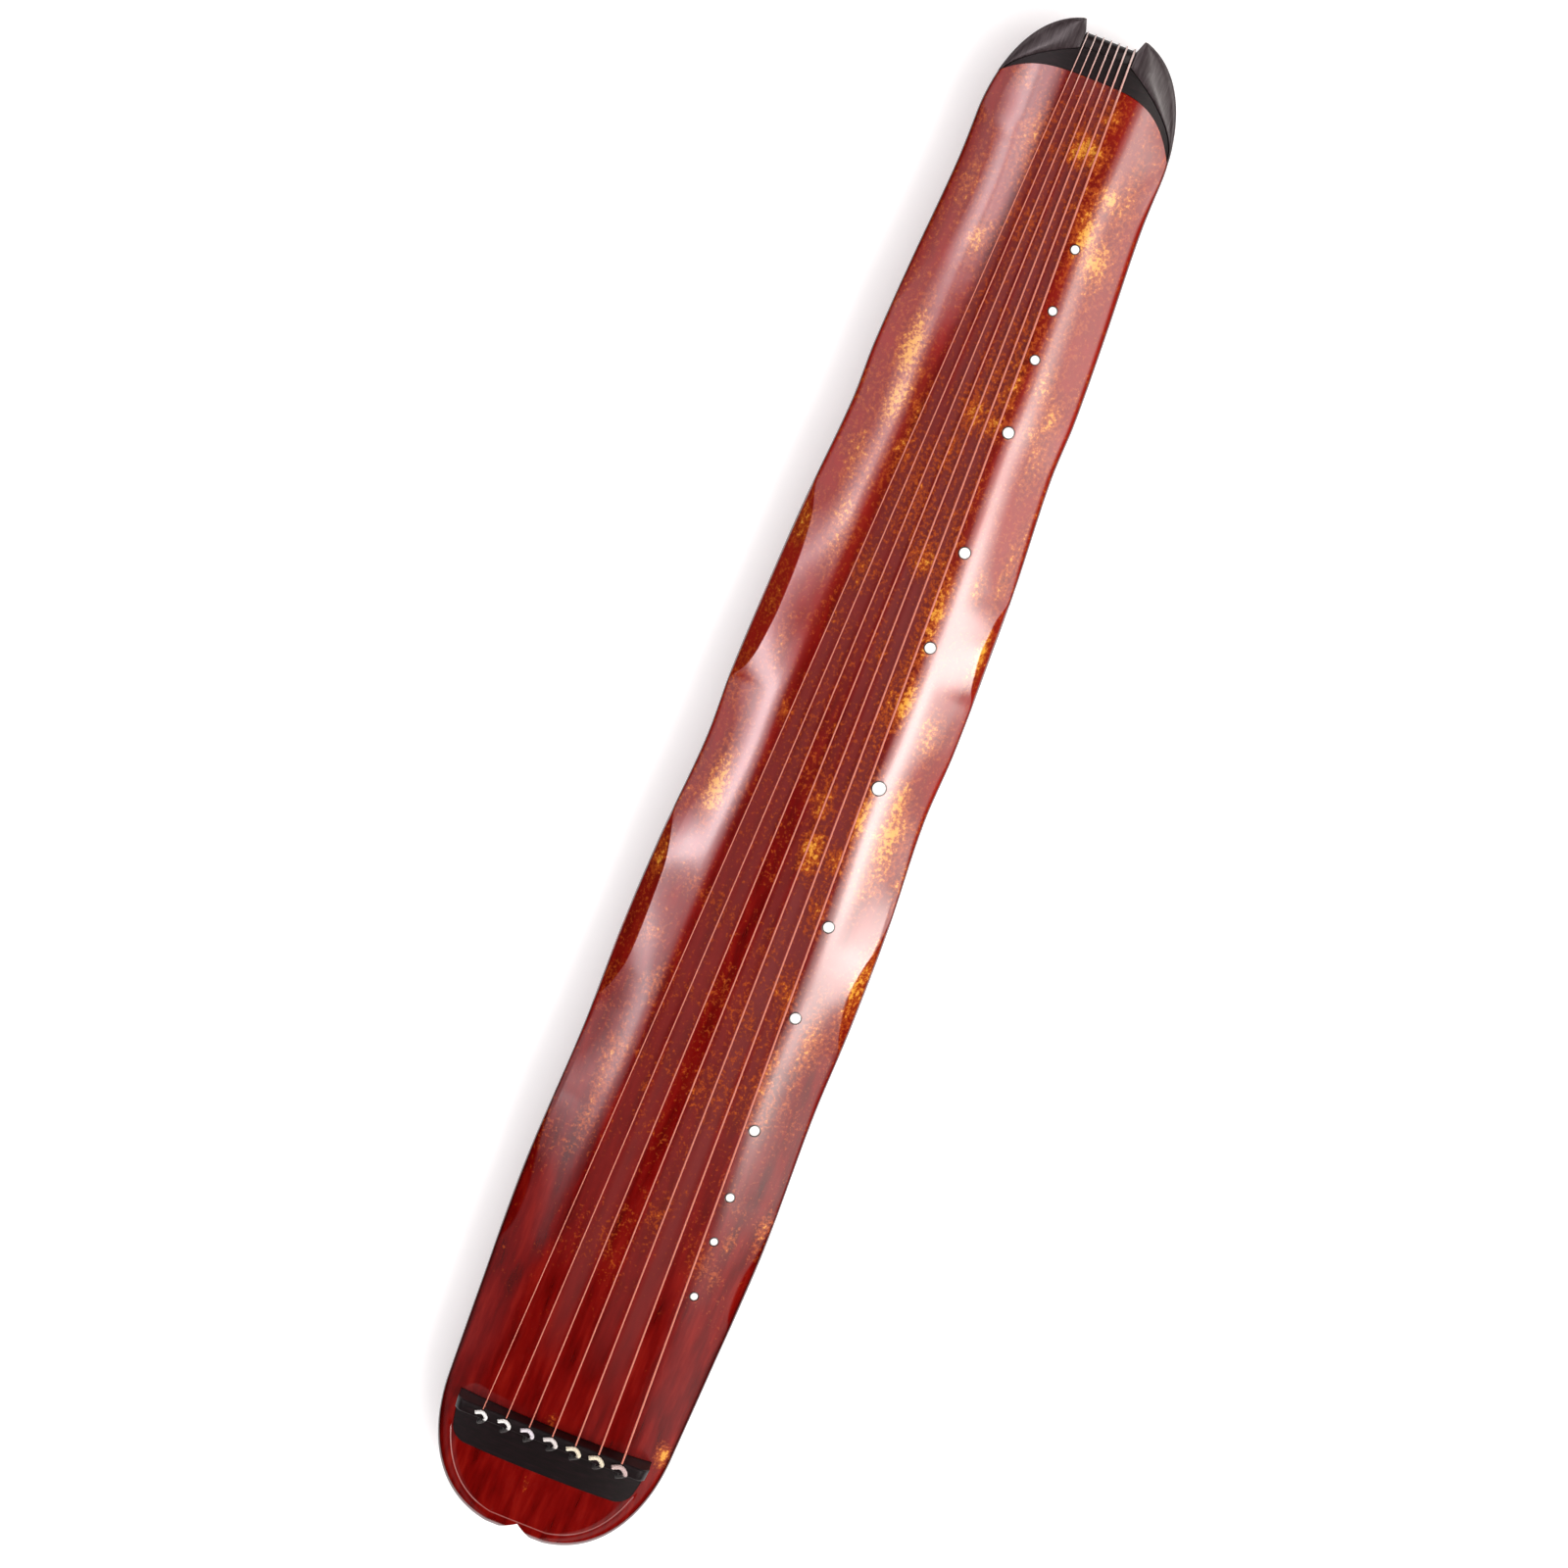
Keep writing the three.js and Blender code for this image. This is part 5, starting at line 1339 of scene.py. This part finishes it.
def paint(piece):
    """Stores where the lacquer is gold, brown or light, and where shade is painted dark along the edge
    and a highlight pale in the groove.
    """
    x, y, z = places_of(piece.data.vertices).T
    inset = inset_at(x, y)
    # Painted shade: the lacquer is darkened along the outline.
    edge = np.clip(EDGE_SHADE_REACH - inset / ease(EDGE_SHADE_WIDTHS, share_at(x)), 0, 1)
    # Painted highlight: a pale line along the groove of the head, stored as worn.
    worn = np.clip(1 - np.abs(inset - GROOVE_INSET) / (GROOVE_WIDTH / 2), 0, 1)
    mark(
        piece.data, gold=gold_at(x, y), brown=brown_at(x, y), light=light_at(x, y),
        edge=edge * (z > surface(x, y) - EDGE_SHADE_DEPTH), worn=worn * (x > X_GROOVE_END),
    )


def bare_inside(piece):
    """Leaves the walls of the sound box as bare wood."""
    mesh = piece.data
    mesh.materials.clear()
    mesh.materials.append(lacquer)
    mesh.materials.append(bare_fir)
    x, y, z = places_of(mesh.polygons, "center").T
    in_box = (x > X_NUT + TAIL_BLOCK - BOX_MARGIN) & (x < X_BRIDGE - HEAD_BLOCK + BOX_MARGIN)
    in_box &= np.abs(y) < outline(x) - SIDE_WALL + BOX_MARGIN
    in_box &= z < surface(x, y) - TOP_THICKNESS + BOX_ROOF_MARGIN
    mesh.polygons.foreach_set("material_index", in_box.astype(np.int32))


paint(top)
bare_inside(top)
dress(top, lacquer, ["top_board"])

# %% [markdown]
# ## Bottom board
# A flat board under the box, lacquered like the top, with its lower edge
# rounded, the two sound holes, the peg pool and the sockets of the feet.

# %% Bottom board
FOOT_SPREAD = 92
GUARD_THICKNESS = 12
GUARD_PEG_GAP = 4
GUARD_Y = (PEGGED_SPAN + PEG_FOOT_DIAMETER + GUARD_THICKNESS) / 2 + GUARD_PEG_GAP
TENON_WIDTH = 15
TENON_HEIGHT = 8
GUARD_TENON_LENGTH = 18
GUARD_TENON_THICKNESS = 6


def block_plan(x, y, length, width):
    return [
        (x + a * length / 2, y + b * width / 2) for a, b in ((1, 1), (-1, 1), (-1, -1), (1, -1))
    ]


def socket(x, y, length, width):
    plan = block_plan(x, y, length + 2 * GAP, width + 2 * GAP)
    return prism("socket", plan, FOOT_HEIGHT - OVERRUN, Z_ABOVE)


def bottom_skin():
    plan, outward = plan_of(PLAN_STEP)
    spine = spine_of(plan)
    rings = [lifted(spine, FOOT_HEIGHT)]
    for inset, rise in rounding(BOTTOM_CHAMFER, EDGE_STEPS):
        rings.append(ring_at(plan, outward, SIDE_TUCK + inset, FOOT_HEIGHT + rise))
    rings += [ring_at(plan, outward, SIDE_TUCK, Z_BOTTOM_TOP), lifted(spine, Z_BOTTOM_TOP)]
    return solid("lacquered_bottom", rings, side_faces(len(rings), len(plan)))


bottom = bottom_skin()
below = FOOT_HEIGHT - OVERRUN
carve(bottom, [
    *(
        prism("sound_hole", slot_plan(along(share), 0, length, SOUND_HOLE_WIDTH), below, Z_ABOVE)
        for share, length in SOUND_HOLES
    ),
    prism("tail_gap", tail_gap_plan, below, Z_ABOVE),
    prism("notch", notch_plan, below, Z_ABOVE),
    prism("pool", pool_plan, below, Z_ABOVE),
    *(socket(X_FOOT, side * FOOT_SPREAD / 2, TENON_WIDTH, TENON_WIDTH) for side in (1, -1)),
    *(
        socket(X_CORD_HOLE, side * GUARD_Y, GUARD_TENON_LENGTH, GUARD_TENON_THICKNESS)
        for side in (1, -1)
    ),
])
paint(bottom)
dress(bottom, lacquer, ["bottom_board"])

# %% [markdown]
# ## Bridge
# A ridge of rosewood carries the strings at the head. It slopes down at both
# ends into its bed, and a flat plate of the same wood lies behind it, with a
# hole for the cord of each string.

# %% Bridge and its plate
BRIDGE_EDGE_STEPS = 6


def bridge_high(x, y):
    off = abs(y) / bar_half(x)
    fallen = np.clip((off - BRIDGE_SLOPE_SHARE) / (1 - BRIDGE_SLOPE_SHARE), 0, 1)
    ridge = between(bridge_top, surface(x, y) + BRIDGE_END_RISE, fallen * fallen)
    inward = min(x - X_BRIDGE, X_BRIDGE_BACK - GAP - x)
    worn = np.clip(1 - inward / BRIDGE_ROUND, 0, 1)
    return ridge - BRIDGE_ROUND * (1 - np.sqrt(1 - worn * worn))


def bar_low(x, y):
    return surface(x, y) - BAR_SINK


steps_in = [step for _, step in rounding(BRIDGE_ROUND, BRIDGE_EDGE_STEPS)]
bridge_places = [X_BRIDGE + step for step in steps_in]
bridge_places += [X_BRIDGE_BACK - GAP - step for step in steps_in[::-1]]
ridge = slab("bridge_ridge", bridge_places, bar_half, bar_low, bridge_high, BAR_SHARES)
dress(ridge, crosswise_rosewood, ["bridge"])

plate = slab(
    "bridge_inlay", bar_places(X_BRIDGE_BACK), rounded_bar_half, bar_low,
    lambda x, y: surface(x, y) + PLATE_PROUD, BAR_SHARES,
)
carve(plate, cord_holes())
dress(plate, crosswise_rosewood, ["bridge_plate"])

# %% [markdown]
# ## Tail
# The strings turn over a small rosewood nut set in a gap of the body, and over
# a support below it. A plate and two wings of a greyer wood fill the inlay:
# each wing has a raised crest beside the nut and runs out along the margin.

# %% Nut and its support
NUT_RISE = 1.2
SUPPORT_ROUND = 4
TAIL_PLATE_PROUD = 0.3
END_BEVEL = 0.5
NUT_STEPS = 16
SUPPORT_STEPS = 12
nut_top = float(crown(X_NUT)) + NUT_RISE


def crosswise(name, side, half):
    """Bar along Y over a side view, with its end edges taken off."""
    side = np.array(side)
    middle = (side.min(axis=0) + side.max(axis=0)) / 2
    size = side.max(axis=0) - side.min(axis=0)
    rings = []
    for y, worn in ((-half, 1), (-half + END_BEVEL, 0), (half - END_BEVEL, 0), (half, 1)):
        shape = middle + (side - middle) * (1 - worn * END_BEVEL / size)
        rings.append([(x, y, z) for x, z in shape])
    return loft(name, rings)


nut_side = [
    (X_END, Z_INLAY + GAP), *arc(X_NUT, nut_top - NUT_ROUND, NUT_ROUND, 180, 90, NUT_STEPS),
    (X_NUT_FOOT, float(crown(X_NUT)) + TAIL_PLATE_PROUD), (X_NUT_FOOT, Z_INLAY + GAP),
]
nut = crosswise("nut", nut_side, NUT_HALF)
dress(nut, crosswise_rosewood, ["tail_nut"])
support_side = [
    *arc(
        X_END + SUPPORT_ROUND, FOOT_HEIGHT + SUPPORT_ROUND, SUPPORT_ROUND, 180, 270, SUPPORT_STEPS,
    ),
    (X_NUT_FOOT, FOOT_HEIGHT), (X_NUT_FOOT, Z_INLAY), (X_END, Z_INLAY),
]
support = crosswise("nut_support", support_side, NUT_HALF)
dress(support, crosswise_rosewood, ["tail_nut_support"])

# %% Wings and tail plate
BOTH_SIDES = (("outer", 1), ("inner", -1))
OUTER_WING_LENGTH = 49
INNER_WING_LENGTH = 37
WING_ROOT_WIDTH = 34
WING_END_WIDTH = 1.5
WING_RISE = 2.6
WING_SWELL = 1.4
WING_CURVE_SHARE = 1.65
WING_STEPS = 60
WING_TIP_STEPS = 11
WING_ROUND_STEPS = 4
WING_RIM_STEPS = 5
WING_TOP_SHARES = np.linspace(0.12, 1, 10)
CREST_ROUND = 0.7
crest = float(surface(X_NUT_FOOT, NUT_HALF)) + WING_RISE


def along_wing(x, side):
    """How far along a wing a place is, from 0 at the nut to 1 at its end."""
    length = OUTER_WING_LENGTH if side > 0 else INNER_WING_LENGTH
    return float(np.clip((x - X_NUT_FOOT) / length, 0, 1))


def wing_inner(x, side):
    flare = WING_TIP_FLARE * np.clip((X_END - x) / (X_END - X_TAIL), 0, 1)
    thick = WING_END_WIDTH + WING_ROOT_WIDTH * (1 - along_wing(x, side)) ** WING_CURVE_SHARE
    return float(np.maximum(NUT_HALF + GAP + flare, outline(x) - thick))


wing_places = [
    *np.linspace(X_NUT_FOOT, X_NUT_FOOT + OUTER_WING_LENGTH, WING_STEPS),
    X_NUT_FOOT + OUTER_WING_LENGTH + OVERRUN,
]


def wing(name, side):
    tip = list(np.linspace(X_TAIL, X_NUT_FOOT, WING_TIP_STEPS + 1)[:-1])
    rings = []
    for x in [*tip, *wing_places]:
        inner, outer = wing_inner(x, side), float(outline(x))
        t = along_wing(x, side)
        edge = min(EDGE_ROUND, (outer - inner) / 2)
        worn = min(CREST_ROUND, (outer - inner) / 4)

        def high(y):
            share = (y - inner) / (outer - EDGE_ROUND / 2 - inner)
            base = min(float(surface(max(x, X_END), y)), crest - WING_RISE)
            swell = WING_SWELL * math.sin(math.pi * min(share, 1)) * (1 - t)
            return base + WING_RISE * (1 - t) * (1 - share / 2) + swell

        top_of_crest, rim = high(inner + worn), high(outer - edge)
        ring = [(inner, Z_INLAY + GAP)]
        for drop, inset in rounding(worn, WING_ROUND_STEPS):
            ring.append((inner + inset, top_of_crest - drop))
        for share in WING_TOP_SHARES:
            y = between(inner + worn, outer - edge, share)
            ring.append((y, high(y)))
        for inset, drop in rounding(edge, WING_RIM_STEPS)[1:]:
            ring.append((outer - inset, rim - drop))
        ring.append((outer, Z_INLAY + GAP))
        rings.append([(x, side * y, z) for y, z in ring])
    return carve(loft(name, rings), [inlay_prism(GAP)], "INTERSECT")


for name, side in BOTH_SIDES:
    dress(wing(f"wing_{name}", side), wing_wood, [f"tail_wing_{name}"])

tail_inlay = slab(
    "tail_inlay", [X_NUT_FOOT + GAP, *wing_places[1:]],
    lambda x, side: wing_inner(x, side) - 2 * GAP, lambda x, y: Z_INLAY + GAP,
    lambda x, y: surface(x, y) + TAIL_PLATE_PROUD, BAR_SHARES,
)
carve(tail_inlay, [inlay_prism(GAP)], "INTERSECT")
dress(tail_inlay, crosswise_rosewood, ["tail_plate"])

# %% [markdown]
# ## Studs
# Thirteen studs mark where the harmonics lie. Each is a slightly domed disc
# with a thin ring of dark lacquer that holds it in its pocket.

# %% Studs
STUD_DOME = 0.25
STUD_DOME_STEPS = 6
RING_SINK = 0.05
PEARL_SINK = 0.02
for i, (share, size) in enumerate(STUD_SHARES):
    radius = LARGEST_STUD * size / 2
    rim = stud_reach(size)
    profile = [
        (0, -STUD_THICKNESS), (rim, -STUD_THICKNESS), (rim, -RING_SINK), (radius, -PEARL_SINK),
    ]
    profile += [
        (radius * math.cos(a), STUD_PROUD + STUD_DOME * math.sin(a))
        for a in np.linspace(0, math.pi / 2, STUD_DOME_STEPS + 1)
    ]
    stud = set_in(f"pearl_stud_{i + 1}", profile, share)
    mesh = stud.data
    mesh.materials.append(pearl)
    mesh.materials.append(ring_lacquer)
    place, normal = stud_frame(share)
    for face in mesh.polygons:
        away = face.center / MM - place
        flat = away - normal * away.dot(normal)
        face.material_index = 1 if flat.length > radius else 0
    dress(stud, pearl, [f"stud_{i + 1}"])

# %% [markdown]
# ## Feet, guards and pegs
# Two goose feet, turned with a waist for the strings, stand in square sockets.
# Two guards beside the peg pool keep the pegs off the table. The pegs are
# turned, with a bore down the middle that the cord comes through.

# %% Goose feet
FOOT_DIAMETER = 28
FOOT_BASE_HEIGHT = 4
FOOT_FLARE_HEIGHT = 3
FOOT_WAIST_DIAMETER = 19
FOOT_FLANGE_DIAMETER = 24
FOOT_FLANGE_HEIGHT = 2.2
FOOT_EDGE_ROUND = 1.1
FOOT_SIDES = 64
foot_waist_low = FOOT_BASE_HEIGHT + FOOT_FLARE_HEIGHT
foot_waist_high = FOOT_HEIGHT - GAP - FOOT_FLANGE_HEIGHT


def joined(base, *others):
    """One piece from several that touch."""
    return carve(base, others, "UNION")


def tenon(x, y, length, width):
    plan = block_plan(x, y, length, width)
    return prism("tenon", plan, FOOT_HEIGHT - 2 * GAP, FOOT_HEIGHT + TENON_HEIGHT)


for name, side in BOTH_SIDES:
    base, waist = FOOT_DIAMETER / 2, FOOT_WAIST_DIAMETER / 2
    profile = soften([
        (0, 0), (base, 0), (base, FOOT_BASE_HEIGHT), (waist, foot_waist_low),
        (waist, foot_waist_high), (FOOT_FLANGE_DIAMETER / 2, FOOT_HEIGHT - GAP),
        (0, FOOT_HEIGHT - GAP),
    ], FOOT_EDGE_ROUND)
    foot = turned(f"foot_{name}", profile, X_FOOT, side * FOOT_SPREAD / 2, FOOT_SIDES)
    joined(foot, tenon(X_FOOT, side * FOOT_SPREAD / 2, TENON_WIDTH, TENON_WIDTH))
    dress(foot, upright_rosewood, [f"goose_foot_{name}"])

# %% Peg guards
GUARD_LENGTH = 34
GUARD_CORNER = 3
GUARD_SHARES = [(0, 0.8), (0.2, 0.84), (0.6, 0.74), (0.88, 0.92), (1, 1)]
GUARD_STEPS = 20
GUARD_CORNER_STEPS = 6
for name, side in BOTH_SIDES:
    rings = []
    for share in np.linspace(0, 1, GUARD_STEPS + 1):
        size = float(ease(GUARD_SHARES, share))
        x = GUARD_LENGTH * size / 2 - GUARD_CORNER
        y = GUARD_THICKNESS * size / 2 - GUARD_CORNER
        ring = []
        for cx, cy, first in ((x, y, 0), (-x, y, 90), (-x, -y, 180), (x, -y, 270)):
            ring += arc(cx, cy, GUARD_CORNER, first, first + 90, GUARD_CORNER_STEPS)
        rings.append([
            (X_CORD_HOLE + px, side * GUARD_Y + py, share * (FOOT_HEIGHT - GAP)) for px, py in ring
        ])
    guard = skin(f"guard_{name}", rings)
    joined(guard, tenon(X_CORD_HOLE, side * GUARD_Y, GUARD_TENON_LENGTH, GUARD_TENON_THICKNESS))
    dress(guard, upright_rosewood, [f"peg_guard_{name}"])

# %% Pegs
PEG_LENGTH = 38
PEG_HEAD_DIAMETER = 11.4
PEG_HEAD_HEIGHT = 3
PEG_WAIST_DIAMETER = 6.8
PEG_WAIST_HEIGHT = 11.6
PEG_NECK_DIAMETER = 9
PEG_BORE = 3
PEG_EDGE_ROUND = 1
PEG_SIDES = 40
peg_top = Z_POOL_ROOF - GAP
peg_waist_high = peg_top - PEG_HEAD_HEIGHT
peg_waist_low = peg_waist_high - PEG_WAIST_HEIGHT
peg_hole_level = peg_waist_high - PEG_BORE / 2 - EDGE_ROUND / 3


def turned_peg(k):
    low = peg_top - PEG_LENGTH
    wide = PEG_FOOT_DIAMETER / 2
    profile = soften([
        (0, low), (wide, low), (wide, low + EDGE_ROUND * 1.5),
        (PEG_NECK_DIAMETER / 2, peg_waist_low - PEG_HEAD_HEIGHT / 2),
        (PEG_WAIST_DIAMETER / 2, peg_waist_low), (PEG_WAIST_DIAMETER / 2, peg_waist_high),
        (PEG_HEAD_DIAMETER / 2, peg_waist_high + EDGE_ROUND / 2), (PEG_HEAD_DIAMETER / 2, peg_top),
        (0, peg_top),
    ], PEG_EDGE_ROUND)
    peg = turned(f"turned_peg_{k + 1}", profile, X_CORD_HOLE, bridge_y(k), PEG_SIDES)
    radius = PEG_BORE / 2
    hole = circle(X_CORD_HOLE, bridge_y(k), radius, HOLE_SIDES)
    bore = prism("bore", hole, peg_hole_level - radius, Z_ABOVE)
    mouth = circle(bridge_y(k), peg_hole_level, radius, HOLE_SIDES)
    places = (X_CORD_HOLE, X_CORD_HOLE + PEG_HEAD_DIAMETER)
    side = skin("side_hole", [[(x, y, z) for y, z in mouth] for x in places])
    return carve(peg, [bore, side])


for k in range(STRING_COUNT):
    dress(turned_peg(k), upright_rosewood, [f"peg_{k + 1}"], f"tuning_peg_{k + 1}")

# %% [markdown]
# ## Cords and strings
# A cord of twisted silk runs from the knot on the bridge down through the
# plate to its peg, and on round the peg's waist. The string starts at the knot,
# runs to the nut, turns under the tail and is wound round a goose foot.

# %% Cords of the pegs
PEG_CORD_THICKNESS = 1.9
PEG_CORD_BEND = 1.9
PEG_TURN_COUNT = 3
TURN_CLEARANCE = 0.6
TURN_GAP = 0.5
TURN_STEPS = 60
PEG_BEND_STEPS = 8
PEG_CORD_PITCH = 4.2


def peg_cord_path(k):
    bend = PEG_CORD_BEND
    reach = (PEG_WAIST_DIAMETER + PEG_CORD_THICKNESS) / 2 + TURN_CLEARANCE
    pitch = PEG_CORD_THICKNESS + TURN_GAP
    down = arc(bend, peg_hole_level + bend, bend, 180, 270, PEG_BEND_STEPS)
    out = arc(reach - bend, bend, bend, -90, 0, PEG_BEND_STEPS)
    path = [(0, 0, peg_top), (0, 0, (peg_top + peg_hole_level + bend) / 2)]
    path += [(x, 0, z) for x, z in down] + [(x, y, peg_hole_level) for x, y in out]
    for turn in np.arange(1, PEG_TURN_COUNT * TURN_STEPS + 1) / TURN_STEPS:
        x, y = reach * math.cos(2 * math.pi * turn), reach * math.sin(2 * math.pi * turn)
        path.append((x, y, peg_hole_level - pitch * turn))
    return [(X_CORD_HOLE + x, bridge_y(k) + y, z) for x, y, z in path]


for k in range(STRING_COUNT):
    radius = PEG_CORD_THICKNESS / 2
    wound = twisted_cord(f"wound_cord_{k + 1}", peg_cord_path(k), radius, PEG_CORD_PITCH)
    dress(
        wound, cord_silks[k], [f"peg_cord_{k + 1}"], f"tuning_peg_{k + 1}",
        CORD_SHARP_ANGLE,
    )

# %% Knotted cords on the bridge
THICK_KNOT = 3.9
THIN_KNOT = 3.1
LONG_KNOT_ARM = 6.6
SHORT_KNOT_ARM = 5.2
KNOT_SET_BACK = 2.9
CORD_THICKNESS = 2.5
KNOT_ROUTE_SHARES = [
    (0.42, -0.92), (0.2, -0.45), (0.06, -0.05), (0.16, 0.32), (0.42, 0.66), (0.72, 0.86),
]
CORD_DROP_SHARES = [(0.66, 0.6, -0.02), (0.875, 0.22, 0.27), (0.98, 0.03, 0.43), (1, 0, 0.5)]
KNOT_WIDTH_SHARES = [1, 1, 1, 1, 1, 0.7, 0.3, 0, 0, 0, 0]
CORD_END_LIFT = 0.4
CORD_STEP = 0.45
CORD_PITCH = 6
# Painted shade on the cord begins this far behind the knot, in mm, and fades in over the next.
DARK_CORD_START = 5.2
DARK_CORD_FADE = 1


def knot_thickness(k):
    return between(THICK_KNOT, THIN_KNOT, k / (STRING_COUNT - 1))


def tuning_cord_path(k):
    arm = between(LONG_KNOT_ARM, SHORT_KNOT_ARM, k / (STRING_COUNT - 1))
    high = bridge_top + GAP + knot_thickness(k) / 2
    knot = [
        (X_BRIDGE + KNOT_SET_BACK + a * arm, bridge_y(k) + b * arm, high)
        for a, b in KNOT_ROUTE_SHARES
    ]
    drop = [
        (between(X_BRIDGE, X_CORD_HOLE, a), bridge_y(k) + b * arm, bridge_top - c * BRIDGE_RISE)
        for a, b, c in CORD_DROP_SHARES
    ]
    return [*knot, *drop, (X_CORD_HOLE, bridge_y(k), Z_POOL_ROOF + CORD_END_LIFT)]


for k in range(STRING_COUNT):
    route = tuning_cord_path(k)
    path = smooth_path(route, CORD_STEP)
    run, route_run = run_of(path), run_of(route)
    widths = np.interp(run / run[-1], route_run / route_run[-1], KNOT_WIDTH_SHARES)
    radius = between(CORD_THICKNESS, knot_thickness(k), widths) / 2
    cord = twisted_cord(f"knotted_cord_{k + 1}", path, radius, CORD_PITCH)
    back = places_of(cord.data.vertices)[:, 0] - X_BRIDGE - KNOT_SET_BACK
    # Painted shade: the cord turns dark where it drops behind the knot.
    mark(cord.data, deep=np.clip((back - DARK_CORD_START) / DARK_CORD_FADE, 0, 1))
    dress(
        cord, cord_silks[k], [f"tuning_cord_{k + 1}"], sharp=CORD_SHARP_ANGLE,
    )

# %% Strings
THICK_STRING = 1.5
THIN_STRING = 0.8
OUTER_FOOT_STRING_COUNT = 4
FOOT_TURN_SHARE = 1.75
FOOT_TURN_STEPS = 72
OVER_STEPS = 12
UNDER_STEPS = 10
STRING_SIDES = 12


def string_thickness(k):
    return between(THICK_STRING, THIN_STRING, k / (STRING_COUNT - 1))


def foot_turns(k):
    """Turns round the waist of a goose foot, one string below another."""
    outer = k < OUTER_FOOT_STRING_COUNT
    hand = 1 if outer else -1
    reach = FOOT_WAIST_DIAMETER / 2 + TURN_CLEARANCE + string_thickness(k) / 2
    pitch = string_thickness(k) + TURN_GAP
    start = foot_waist_high - GAP - string_thickness(k) / 2
    for j in range(0 if outer else OUTER_FOOT_STRING_COUNT, k):
        start -= 2 * (string_thickness(j) + TURN_GAP)
    path = []
    for turn in np.arange(round(FOOT_TURN_SHARE * FOOT_TURN_STEPS) + 1) / FOOT_TURN_STEPS:
        angle = 2 * math.pi * (turn - 1 / 4)
        y = hand * (FOOT_SPREAD / 2 + reach * math.sin(angle))
        path.append((X_FOOT + reach * math.cos(angle), y, start - pitch * turn))
    return path


def string_path(k):
    ride = string_thickness(k) / 2 + GAP
    start = X_BRIDGE + KNOT_SET_BACK - knot_thickness(k) / 2 - GAP
    over = arc(X_NUT, nut_top - NUT_ROUND, NUT_ROUND + ride, 90, 180, OVER_STEPS)
    under = arc(
        X_END + SUPPORT_ROUND, FOOT_HEIGHT + SUPPORT_ROUND, SUPPORT_ROUND + ride, 180, 270,
        UNDER_STEPS,
    )
    return [
        (start, bridge_y(k), bridge_top + ride), (X_BRIDGE, bridge_y(k), bridge_top + ride),
        *((x, nut_y(k), z) for x, z in over + under), *foot_turns(k),
    ]


for k in range(STRING_COUNT):
    path = string_path(k)
    rings = tube_rings(path, string_thickness(k) / 2, STRING_SIDES)
    string = skin(f"silk_string_{k + 1}", rings)
    mark(string.data, run=np.repeat(run_of(path) * MM, STRING_SIDES))
    dress(string, string_silk, [f"string_{k + 1}"], sharp=CORD_SHARP_ANGLE)
    print("string", k + 1, round(float(run_of(path)[-1])), "mm")

# %% [markdown]
# ## Sound posts
# Two posts of bare fir stand in the box, one round and one square. Their CAD
# solids have the right shape, so they only get their wood.

# %% Sound posts
for name in ("sound_post_round", "sound_post_square"):
    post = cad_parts[name]
    post.data.materials.clear()
    post.data.materials.append(bare_fir)
